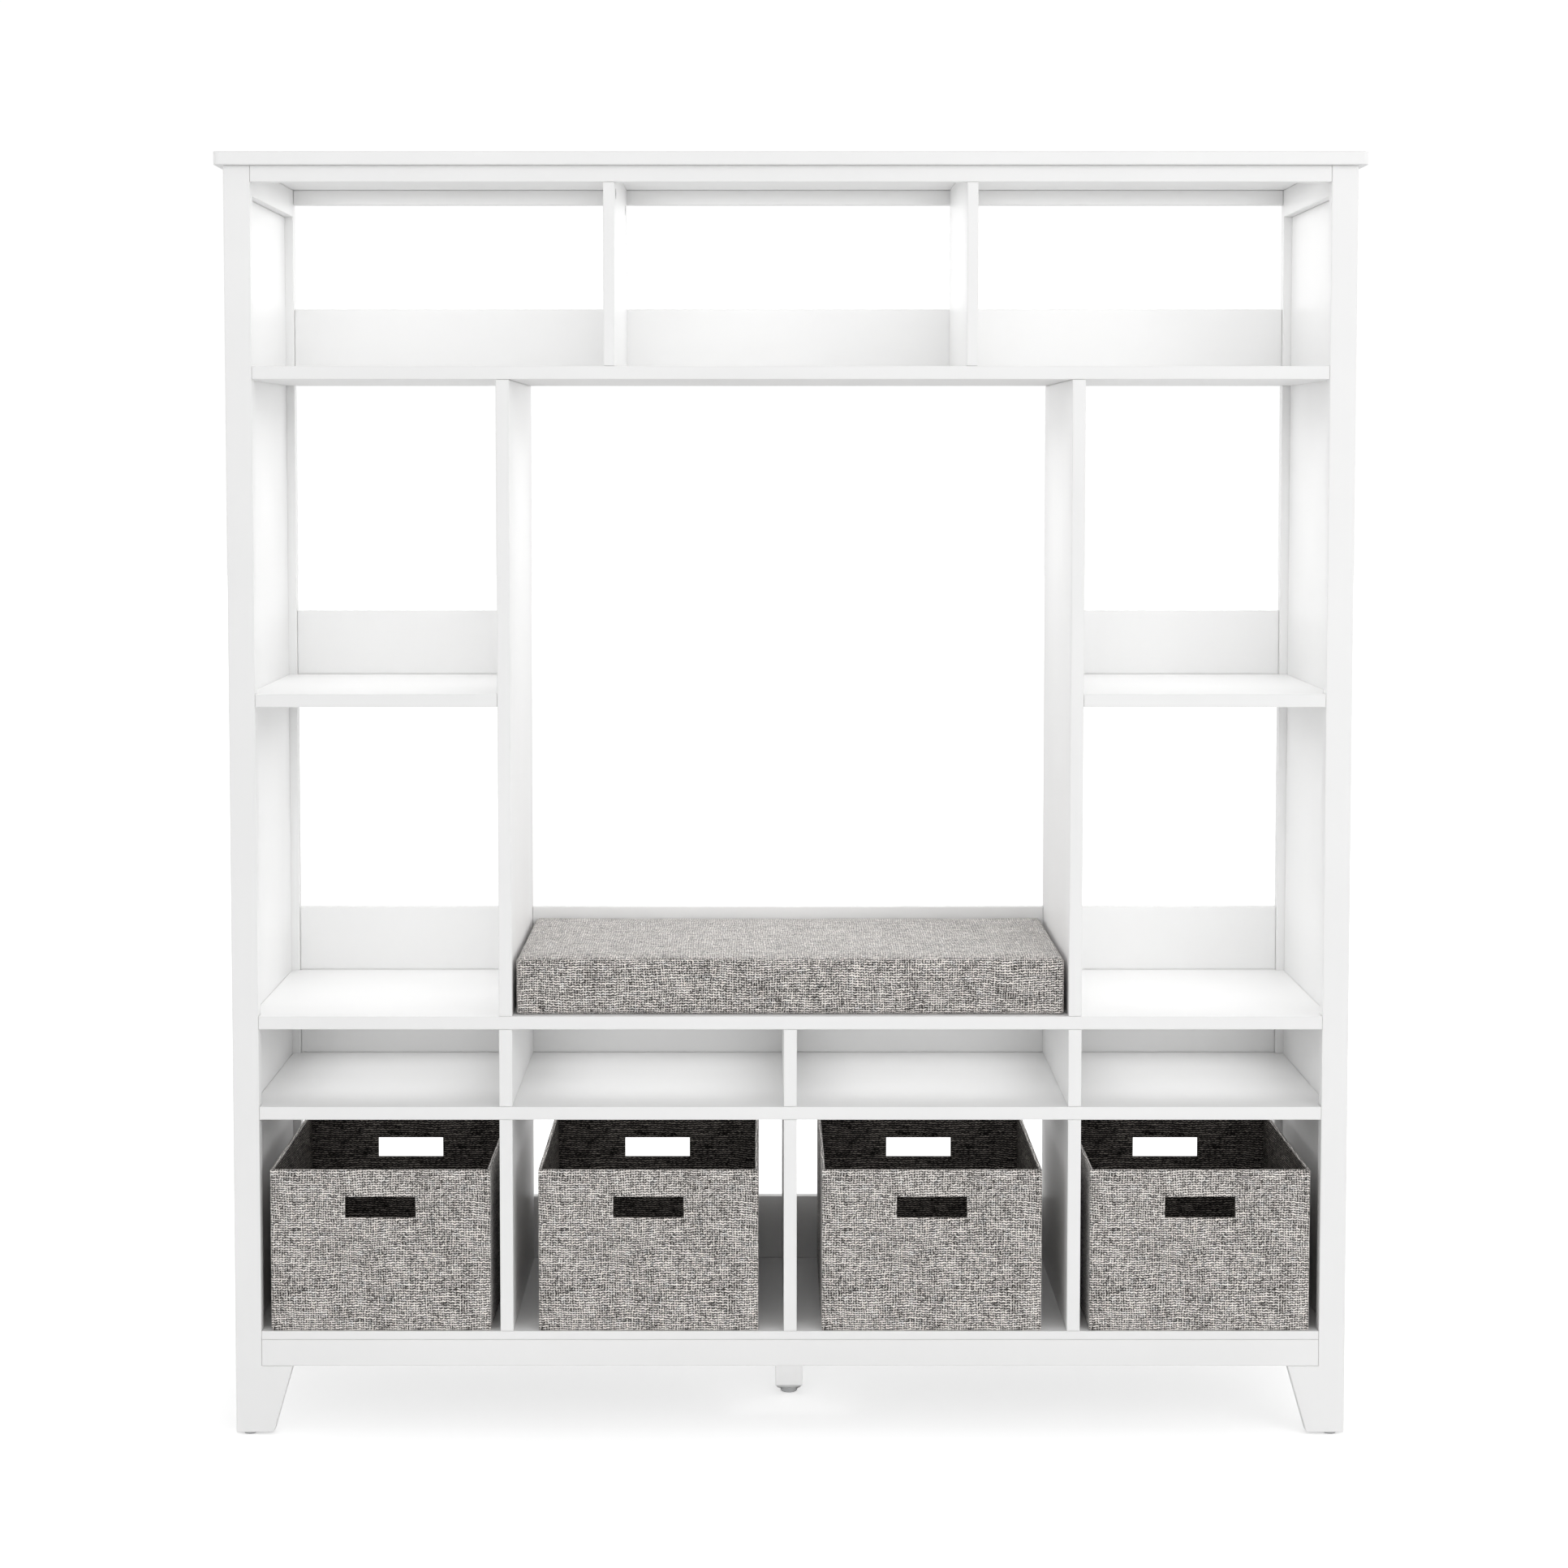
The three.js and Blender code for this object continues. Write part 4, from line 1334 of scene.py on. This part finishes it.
@dataclass(frozen=True)
class StorageBin:
    """A cloth-covered open box with a hand hole in its front and back, and a loose base board."""

    number: int
    corner_radius: float = 0.0022
    wall: float = 0.0045
    hole_width: float = 0.097
    hole_height: float = 0.029
    hole_drop: float = 0.038
    hole_ease: float = 0.0011
    rim_ease: float = 0.0014
    bow: float = 0.0007
    board_corner: float = 0.003
    board_ease: float = 0.0009
    board_margin: float = 0.00125
    flat_margin: float = 0.006
    rim_room: float = 0.005
    floor_fillet: float = 0.001
    near_edge: float = 2e-5
    bow_height: float = 0.85
    bow_seed: int = 40

    @property
    def node(self) -> str:
        """The shell's CAD node."""
        return f"bin_{self.number}_shell"

    def _plan(self, low: Vector, high: Vector) -> Outline:
        """The outline in plan, with plain points at the edges of the hand holes.

        Args:
            low: The shell's lowest corner.
            high: Its highest corner.

        Returns:
            The outline.
        """
        middle = (low.x + high.x) / 2
        half = self.hole_width / 2
        beside = np.linspace(low.x, middle - half, 5)
        beyond = np.linspace(middle + half, high.x, 5)[:-1]
        across = np.concatenate([beside, [middle], beyond])
        depth = np.linspace(low.y, high.y, 11)[:-1]
        mirrored = low.x + high.x - across
        front = np.stack([across, np.full(len(across), low.y)], 1)
        right = np.stack([np.full(len(depth), high.x), depth], 1)
        rear = np.stack([mirrored, np.full(len(across), high.y)], 1)
        left = np.stack([np.full(len(depth), low.x), low.y + high.y - depth], 1)
        corners = np.concatenate([front, right, rear, left])
        return Outline(corners, self.corner_radius, steps=4, margin=self.wall)

    def _profile(self, low: Vector, high: Vector) -> tuple[Array, int]:
        """The wall seen from its end: up the outside, over the rim, down the inside to the floor.

        Args:
            low: The shell's lowest corner.
            high: Its highest corner.

        Returns:
            (inset, height) points, and the number of the last point that belongs to the rim.
        """
        ease, wall = self.rim_ease, self.wall
        hole_top = high.z - self.hole_drop
        rows = np.concatenate(
            [
                np.linspace(low.z + self.flat_margin, hole_top - self.hole_height, 9),
                [hole_top - self.hole_height / 2, hole_top],
                np.linspace(hole_top, high.z - self.rim_room, 4)[1:],
            ]
        )
        arc = np.radians(np.linspace(0, 90, 4))
        foot = np.stack([ease - ease * np.sin(arc), low.z + ease - ease * np.cos(arc)], 1)
        outer_rim = np.stack([ease - ease * np.cos(arc), high.z - ease + ease * np.sin(arc)], 1)
        inner_rim = np.stack([wall - outer_rim[::-1, 0], outer_rim[::-1, 1]], 1)
        floor = low.z + wall
        fillet = self.floor_fillet * np.array([[0.0, 1.0], [0.3, 0.3], [1.0, 0.0]])
        inner_foot = fillet + [wall, floor]
        up = np.stack([np.zeros(len(rows)), rows], 1)
        down = np.stack([np.full(len(rows), wall), rows[::-1]], 1)
        margin = self.flat_margin
        before = [[[margin, low.z]], foot, up, outer_rim, inner_rim]
        profile = np.concatenate([*before, down, inner_foot, [[wall + margin, floor]]])
        return profile, sum(len(part) for part in before) - 1

    def _cut_holes(
        self, surface: Surface, plan: Outline, profile: Array, low: Vector, high: Vector
    ) -> None:
        """Takes the hand holes out of both layers and joins the layers round them.

        Args:
            surface: The uncut shell, which is changed.
            plan: Its outline.
            profile: Its wall profile.
            low: Its lowest corner.
            high: Its highest corner.
        """
        hole_high = high.z - self.hole_drop
        hole_low = hole_high - self.hole_height
        middle = (low.x + high.x) / 2
        half = self.hole_width / 2
        columns = len(plan.ring(0.0))
        points = surface.points
        centre = points[surface.quads].mean(1)
        hit = np.abs(centre[:, 0] - middle) < half - WELL_INSIDE
        hit &= (centre[:, 2] > hole_low + WELL_INSIDE) & (centre[:, 2] < hole_high - WELL_INSIDE)
        rows = np.arange(len(profile))
        inset, height = profile[:, 0], profile[:, 1]
        tall = (height > hole_low - SAME_PLACE) & (height < hole_high + SAME_PLACE)
        outer = rows[tall & (inset < SAME_PLACE)]
        inner = rows[tall & (inset > self.wall - SAME_PLACE)][::-1]
        ring = plan.ring(0.0)
        tunnel = []
        for wall_y in (low.y, high.y):
            on_wall = np.abs(ring[:, 1] - wall_y) < SAME_PLACE
            reach = np.abs(ring[:, 0] - middle)
            span = np.flatnonzero(on_wall & (reach < half + SAME_PLACE))
            first = span[np.abs(ring[span, 0] - ring[span[0], 0]) < SAME_PLACE][-1]
            last = span[np.abs(ring[span, 0] - ring[span[-1], 0]) < SAME_PLACE][0]
            strip = np.arange(first, last + 1)
            for outer_row, inner_row in ((outer[0], inner[0]), (outer[-1], inner[-1])):
                a, b = outer_row * columns + strip, inner_row * columns + strip
                tunnel.append(np.stack([a[:-1], a[1:], b[1:], b[:-1]], 1))
            for column in (first, last):
                a, b = outer * columns + column, inner * columns + column
                tunnel.append(np.stack([a[:-1], a[1:], b[1:], b[:-1]], 1))
        extra = np.concatenate(tunnel)
        places = points[extra]
        uv = np.stack([places[..., 0] + places[..., 2], places[..., 1]], -1)
        keep = ~hit
        surface.quads = np.concatenate([surface.quads[keep], extra])
        surface.quad_uv = np.concatenate([surface.quad_uv[keep], uv])
        # The hand holes' edges take the lining, which is darkened partly as painted shade.
        surface.quad_material = np.concatenate([surface.quad_material[keep], np.ones(len(extra))])

    def _bow(self, surface: Surface, low: Vector, high: Vector) -> None:
        """Bows each wall a little: nothing at its corners and foot, most high up in its middle.

        Args:
            surface: The shell, which is changed.
            low: Its lowest corner.
            high: Its highest corner.
        """
        points = surface.points
        share = (points - np.array(low)) / np.array(high - low)
        rise = np.sin(np.pi * np.clip(share[:, 2], 0, 1) * self.bow_height)
        chance = np.random.default_rng(self.bow_seed + self.number)
        amounts = self.bow * chance.uniform(0.5, 1.0, 4) * [-1, 1, 1, -1]
        near = self.wall + WELL_INSIDE
        for amount, across, along, end in zip(amounts, (1, 1, 0, 0), (0, 0, 1, 1), (0, 1, 0, 1)):
            face = (low, high)[end][across]
            wave = np.sin(np.pi * np.clip(share[:, along], 0, 1)) * rise
            close = np.abs(points[:, across] - face) < near
            points[:, across] += np.where(close, amount * wave, 0.0)

    def shell(self) -> Object:
        """The shell: a wall profile carried round the plan, with its hand holes cut.

        Returns:
            The shell.
        """
        low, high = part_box(self.node)
        plan = self._plan(low, high)
        profile, rim_end = self._profile(low, high)
        surface = carried(plan, profile, Axis.Z)
        columns = len(plan.ring(0.0))
        row = np.arange(len(surface.quads)) // columns
        # Faces from the rim inwards take the lining, whose darkness is partly painted shade of the bin's
        # inside.
        surface.quad_material = (row >= rim_end).astype(float)
        surface.cap_material = [0, 1]
        self._cut_holes(surface, plan, profile, low, high)
        self._bow(surface, low, high)
        mesh = surface.mesh(self.node, sharp=40.0)
        shell = place_piece(f"cloth_bin_{self.number}", mesh, self.node, Slot.TWEED, TWEED, LINING)
        self._soften_holes(shell, low, high)
        return shell

    def _soften_holes(self, shell: Object, low: Vector, high: Vector) -> None:
        """Rounds the edges of the hand holes, where the cloth turns in.

        Args:
            shell: The shell.
            low: Its lowest corner.
            high: Its highest corner.
        """
        mesh = shell.data
        places = np.empty(len(mesh.vertices) * 3, np.float32)
        mesh.vertices.foreach_get("co", places)
        places = places.reshape(-1, 3)
        edges = np.empty(len(mesh.edges) * 2, np.int32)
        mesh.edges.foreach_get("vertices", edges)
        ends = places[edges.reshape(-1, 2)]
        middle, half = (low.x + high.x) / 2, self.hole_width / 2
        hole_high = high.z - self.hole_drop
        hole_low = hole_high - self.hole_height
        tight = self.near_edge
        at_side = np.abs(np.abs(ends[..., 0] - middle) - half) < tight
        at_end = np.abs(ends[..., 2] - hole_low) < tight
        at_end |= np.abs(ends[..., 2] - hole_high) < tight
        inside = (np.abs(ends[..., 0] - middle) < half + tight) & (ends[..., 2] > hole_low - tight)
        inside &= ends[..., 2] < hole_high + tight
        thin = np.abs(ends[:, 0, 1] - ends[:, 1, 1]) < self.wall / 2
        round_hole = (at_side.all(1) | at_end.all(1)) & inside.all(1) & thin
        weight = mesh.attributes.new("bevel_weight_edge", "FLOAT", "EDGE")
        weight.data.foreach_set("value", round_hole.astype(np.float32))
        soft = shell.modifiers.new("soft_holes", "BEVEL")
        soft.limit_method = "WEIGHT"
        soft.width = self.hole_ease
        soft.segments = 3

    def insert(self) -> Object:
        """The loose base board, wrapped in lining cloth.

        Returns:
            The base board.
        """
        node = f"bin_{self.number}_insert"
        low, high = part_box(node)
        corners = rectangle((low.x, low.y), (high.x, high.y))
        plan = Outline(corners, self.board_corner, steps=4, margin=2 * self.board_corner)
        profile, kind = eased_profile(low.z, high.z, self.board_ease, self.board_margin)
        surface = carried(plan, profile, Axis.Z, kind)
        # The base board takes the lining, which is darkened partly as painted shade of the bin's floor.
        return place_piece(f"base_board_{self.number}", surface.mesh(node), node, Slot.LINING, LINING)

    def build(self) -> None:
        """Builds the shell and its base board."""
        self.shell()
        self.insert()


# ---------------------------------------------------------------- seat cushion


@dataclass(frozen=True)
class SeatCushion:
    """A boxed foam cushion in tweed: a rounded block, swollen as cloth under pressure."""

    edge_radius: float = 0.0058
    start_inset: tuple[float, float, float] = (0.0, 0.0012, -0.0028)
    spacing: float = 0.011
    pressure: float = 3.0
    frames: int = 20
    cap: float = 0.0032
    rise: float = 0.0035
    seam_width: float = 0.0016
    proud: tuple[float, float, float] = (0.0015, 0.002, 0.007)

    def _lines(self, low: float, high: float) -> Array:
        """Grid lines along one axis: close together in the rounded edges, evenly spread between.

        Args:
            low: Where the block starts.
            high: Where it ends.

        Returns:
            The places of the lines.
        """
        radius = self.edge_radius
        edge = radius * (1 - np.tan(np.radians(np.linspace(45, 0, 5))))
        count = max(2, round((high - low - 2 * radius) / self.spacing))
        middle = np.linspace(low + radius, high - radius, count + 1)[1:-1]
        return np.concatenate([low + edge, middle, (high - edge)[::-1]])

    def _block(self, low: Array, high: Array) -> Surface:
        """Six faces of a rounded block. A point on the plain block is held inside a smaller block,
        and pushed out from there by the edge radius in the direction that it was held back.

        Args:
            low: The block's lowest corner.
            high: Its highest corner.

        Returns:
            The surface, its cloth places taken along the edges of each face.
        """
        lines = [self._lines(low[k], high[k]) for k in range(3)]
        points, quads, places = [], [], []
        total = 0
        for axis in Axis:
            first, second, along = axis.order
            for end in (low[along], high[along]):
                grid = np.empty((len(lines[first]), len(lines[second]), 3))
                grid[..., first] = lines[first][:, None]
                grid[..., second] = lines[second][None]
                grid[..., along] = end
                index = total + np.arange(grid[..., 0].size).reshape(grid.shape[:2])
                total += index.size
                corners = [index[:-1, :-1], index[1:, :-1], index[1:, 1:], index[:-1, 1:]]
                quads.append(np.stack(corners, -1).reshape(-1, 4))
                points.append(grid.reshape(-1, 3))
                across = 1 if axis is Axis.X else 0
                upward = 1 if axis is Axis.Z else 2
                places.append(points[-1][:, [across, upward]])
        points, quads = np.concatenate(points), np.concatenate(quads)
        uv = np.concatenate(places)[quads]
        held = np.clip(points, low + self.edge_radius, high - self.edge_radius)
        push = points - held
        push /= np.linalg.norm(push, axis=1, keepdims=True)
        return Surface(points=held + self.edge_radius * push, quads=quads, quad_uv=uv)

    def _swell(self, cushion: Object) -> Array:
        """Lets the cover swell as cloth under pressure, with no gravity.

        Args:
            cushion: The cushion at its start shape.

        Returns:
            The swollen points.
        """
        scene = bpy.context.scene
        modifier = cushion.modifiers.new("swell", "CLOTH")
        settings = modifier.settings
        settings.quality = 6
        settings.mass = 0.3
        settings.tension_stiffness = 40
        settings.compression_stiffness = 40
        settings.shear_stiffness = 20
        settings.bending_stiffness = 8
        settings.use_pressure = True
        settings.uniform_pressure_force = self.pressure
        settings.effector_weights.gravity = 0
        modifier.point_cache.frame_start = 1
        modifier.point_cache.frame_end = self.frames
        for number in range(1, self.frames + 1):
            scene.frame_set(number)
        graph = bpy.context.evaluated_depsgraph_get()
        swollen = cushion.evaluated_get(graph).data
        points = np.empty(len(swollen.vertices) * 3, np.float32)
        swollen.vertices.foreach_get("co", points)
        cushion.modifiers.remove(modifier)
        scene.frame_set(1)
        return points.reshape(-1, 3).astype(float)

    def build(self) -> Object:
        """Builds, swells and dresses the cushion.

        Returns:
            The cushion.
        """
        node = "cushion"
        box_low, box_high = (np.array(corner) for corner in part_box(node))
        inset = np.array(self.start_inset)
        low, high = box_low + inset, box_high - inset
        low[2] = box_low[2]
        mesh = self._block(low, high).mesh(node, sharp=80.0)
        cushion = place_piece("tweed_cushion", mesh, node, Slot.TWEED, TWEED)
        start = np.empty(len(mesh.vertices) * 3, np.float32)
        mesh.vertices.foreach_get("co", start)
        start = start.reshape(-1, 3).astype(float)
        moved = self._swell(cushion) - start
        length = np.linalg.norm(moved, axis=1, keepdims=True)
        moved *= np.minimum(1, self.cap / np.maximum(length, 1e-9))
        points = start + moved
        room = np.array(self.proud)
        points = np.clip(points, box_low - room * [1, 1, 0], box_high + room)
        mesh.vertices.foreach_set("co", points.astype(np.float32).ravel())
        self._mark_seams(mesh, start, low, high)
        mesh.update()
        smooth = cushion.modifiers.new("smooth", "SUBSURF")
        smooth.levels = smooth.render_levels = 1
        log.info("cushion swollen by up to %.1f mm", 1000 * np.abs(moved).max())
        return cushion

    def _mark_seams(self, mesh: bpy.types.Mesh, start: Array, low: Array, high: Array) -> None:
        """Marks the sewn edges. On a seam a point is as far below the face as inside the side.

        Args:
            mesh: The cushion's mesh, which gets the marks.
            start: The points at the start shape.
            low: The block's lowest corner.
            high: Its highest corner.
        """
        aside = np.minimum(start - low, high - start)[:, :2].min(1)
        over = np.abs((high[2] - start[:, 2]) - aside)
        under = np.abs((start[:, 2] - low[2]) - aside)
        near = 1 - np.clip(np.minimum(over, under) / self.seam_width, 0, 1)
        attribute = mesh.attributes.new(SEAM_ATTRIBUTE, "FLOAT", "POINT")
        attribute.data.foreach_set("value", near.astype(np.float32))


# ---------------------------------------------------------------- studio


@dataclass(frozen=True)
class SoftLight:
    """A large soft light aimed at a point."""

    name: str
    place: tuple[float, float, float]
    aim: tuple[float, float, float]
    size: tuple[float, float]
    power: float
    spread: float = 180.0
    hidden: bool = False

    def build(self) -> None:
        """Adds the light, out of sight and out of reflections where it is hidden."""
        data = bpy.data.lights.new(self.name, "AREA")
        data.shape = "RECTANGLE"
        data.size, data.size_y = self.size
        data.energy = self.power
        data.spread = math.radians(self.spread)
        light = bpy.data.objects.new(self.name, data)
        light.visible_camera = light.visible_glossy = not self.hidden
        light.location = self.place
        light.rotation_mode = "QUATERNION"
        light.rotation_quaternion = (Vector(self.aim) - Vector(self.place)).to_track_quat("-Z", "Y")
        bpy.context.scene.collection.objects.link(light)


@dataclass(frozen=True)
class Studio:
    """White surroundings, pale floor, soft lights and the camera."""

    camera_place: tuple[float, float, float] = (-0.0381, -4.3306, 1.3594)
    camera_tilt: float = 3.541
    lens: float = 69.524
    sensor: float = 36.0
    shift: tuple[float, float] = (0.0136, -0.09)
    ambient_low: float = 1.45
    ambient_high: float = 0.54
    ambient_lean: float = 0.06
    ambient_band: tuple[float, float] = (0.1, 0.7)
    seen_white: float = 1.02
    key_power: float = 26.0
    fill_power: float = 0.3
    overhead_power: float = 6.0
    upper_bay: float = 1.05
    side_bay: float = 1.24
    open_bay: float = 1.8
    shoe_bay: float = 0.5
    bin_bay: float = 0.7
    support_glow: float = 0.42
    support_reach: float = 0.1
    panel_share: float = 0.86
    panel_spread: float = 105.0
    upper_spread: float = 170.0
    panel_drop: float = 0.002
    panel_inset: tuple[float, float] = (0.05, 0.04)
    floor_reach: float = 30.0

    def surroundings(self) -> None:
        """White all round where it is seen. It lights most from low down, so that light reaches
        into the shelves, less from overhead, and a little more from the right than the left."""
        world = bpy.data.worlds.new("white_studio")
        bpy.context.scene.world = world
        world.use_nodes = True
        sheet = Sheet(world.node_tree)
        towards = sheet.add("ShaderNodeTexCoord").outputs["Generated"]
        apart = sheet.add("ShaderNodeSeparateXYZ", {0: towards})
        height = sheet.math("ABSOLUTE", apart.outputs[2])
        band = sheet.mapped(height, self.ambient_band, (self.ambient_low, self.ambient_high))
        lean = sheet.math("MULTIPLY_ADD", apart.outputs[0], self.ambient_lean, 1.0)
        lighting = sheet.math("MULTIPLY", band, lean)
        seen = sheet.add("ShaderNodeLightPath").outputs["Is Camera Ray"]
        feeds = {0: seen, 2: lighting, 3: self.seen_white}
        strength = sheet.add("ShaderNodeMix", feeds, data_type="FLOAT").outputs[0]
        white = sheet.add("ShaderNodeBackground", {"Color": rgb(1, 1, 1), "Strength": strength})
        sheet.add("ShaderNodeOutputWorld", {"Surface": white.outputs[0]})

    def floor(self) -> None:
        """A flat floor: a grid of two parameters at height nought."""
        line = np.linspace(-self.floor_reach, self.floor_reach, 13)
        x, y = np.meshgrid(line, line, indexing="ij")
        index = np.arange(x.size).reshape(x.shape)
        corners = [index[:-1, :-1], index[1:, :-1], index[1:, 1:], index[:-1, 1:]]
        quads = np.stack(corners, -1).reshape(-1, 4)
        mesh = bpy.data.meshes.new("floor")
        mesh.from_pydata(np.stack([x, y, 0 * x], -1).reshape(-1, 3).tolist(), [], quads.tolist())
        mesh.materials.append(FLOOR.material())
        floor = bpy.data.objects.new("floor", mesh)
        bpy.context.scene.collection.objects.link(floor)

    def lights(self) -> None:
        """A key from the upper right, a weak fill from the left, and one light over the top."""
        SoftLight("key", (3.0, -3.4, 2.4), (0, 0, 0.9), (2.4, 2.4), self.key_power).build()
        SoftLight("fill", (-3.0, -3.2, 1.8), (0, 0, 0.8), (2.4, 2.4), self.fill_power).build()
        SoftLight("overhead", (0, -0.6, 3.6), (0, 0, 0.9), (3.2, 1.8), self.overhead_power).build()

    def bay_lights(self) -> None:
        """A soft panel under the roof of each open bay, so that the shelves read as white."""
        sides = {"left": -1, "right": 1}
        post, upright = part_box("side_top_rail_right")[0].x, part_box("upright_right")
        divider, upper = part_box("shoe_divider_right"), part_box("upper_divider_right")
        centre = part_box("shoe_divider_centre")[1].x
        bays = [
            ("upper_centre", "top_board", "upper_shelf", -upper[0].x, upper[0].x, self.upper_bay),
            ("open", "upper_shelf", "bench_top", -upright[0].x, upright[0].x, self.open_bay),
        ]
        for word, sign in sides.items():
            outer = sorted((sign * upper[1].x, sign * post))
            beside = sorted((sign * upright[1].x, sign * post))
            inner = sorted((sign * centre, sign * divider[0].x))
            mid = f"mid_shelf_{word}"
            bays += [
                (f"upper_{word}", "top_board", "upper_shelf", *outer, self.upper_bay),
                (f"high_{word}", "upper_shelf", mid, *beside, self.side_bay),
                (f"low_{word}", mid, "bench_top", *beside, self.side_bay),
                (f"shoe_outer_{word}", "bench_top", "shoe_shelf", *beside, self.shoe_bay),
                (f"shoe_inner_{word}", "bench_top", "shoe_shelf", *inner, self.shoe_bay),
                (f"bin_outer_{word}", "shoe_shelf", "bottom_shelf", *beside, self.bin_bay),
                (f"bin_inner_{word}", "shoe_shelf", "bottom_shelf", *inner, self.bin_bay),
            ]
        for name, roof, base, left, right, glow in bays:
            floor_low, floor_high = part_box(base)
            front, back = floor_low.y + self.panel_inset[0], floor_high.y - self.panel_inset[1]
            size = (self.panel_share * (right - left), back - front)
            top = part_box(roof)[0].z - self.panel_drop
            place = ((left + right) / 2, (front + back) / 2, top)
            power = glow * math.pi * size[0] * size[1]
            aim = (place[0], place[1], 0.0)
            name = f"bay_{name}"
            spread = self.upper_spread if base == "upper_shelf" else self.panel_spread
            SoftLight(name, place, aim, size, power, spread, hidden=True).build()

    def support_light(self) -> None:
        """A small hidden panel behind the front rail, which keeps the centre support white."""
        low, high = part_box("centre_support")
        middle, level = (low.x + high.x) / 2, (low.z + high.z) / 2
        aim = (middle, low.y, level)
        place = (middle, low.y - self.support_reach, level)
        size = (4 * (high.x - low.x), high.z - low.z)
        power = self.support_glow * math.pi * size[0] * size[1]
        SoftLight("support", place, aim, size, power, self.panel_spread, hidden=True).build()

    def camera(self) -> None:
        """The camera, a little above the middle and looking slightly down."""
        data = bpy.data.cameras.new("camera")
        data.lens = self.lens
        data.sensor_width = self.sensor
        data.shift_x, data.shift_y = self.shift
        data.clip_start, data.clip_end = 0.05, 100.0
        camera = bpy.data.objects.new("camera", data)
        camera.location = self.camera_place
        camera.rotation_euler = (math.radians(90 - self.camera_tilt), 0, 0)
        bpy.context.scene.collection.objects.link(camera)
        bpy.context.scene.camera = camera

    def build(self) -> None:
        """Builds the surroundings, floor, lights and camera."""
        self.surroundings()
        self.floor()
        self.lights()
        self.bay_lights()
        self.support_light()
        self.camera()
        bpy.context.scene.view_settings.view_transform = "Standard"


def main() -> None:
    """Builds the whole bench and its studio."""
    logging.basicConfig(level=logging.INFO, format="%(name)s: %(message)s")
    PaintedCabinet().build()
    FloorHardware().build()
    for number in range(1, 5):
        StorageBin(number).build()
    SeatCushion().build()
    Studio().build()


if __name__ == "__main__":
    main()
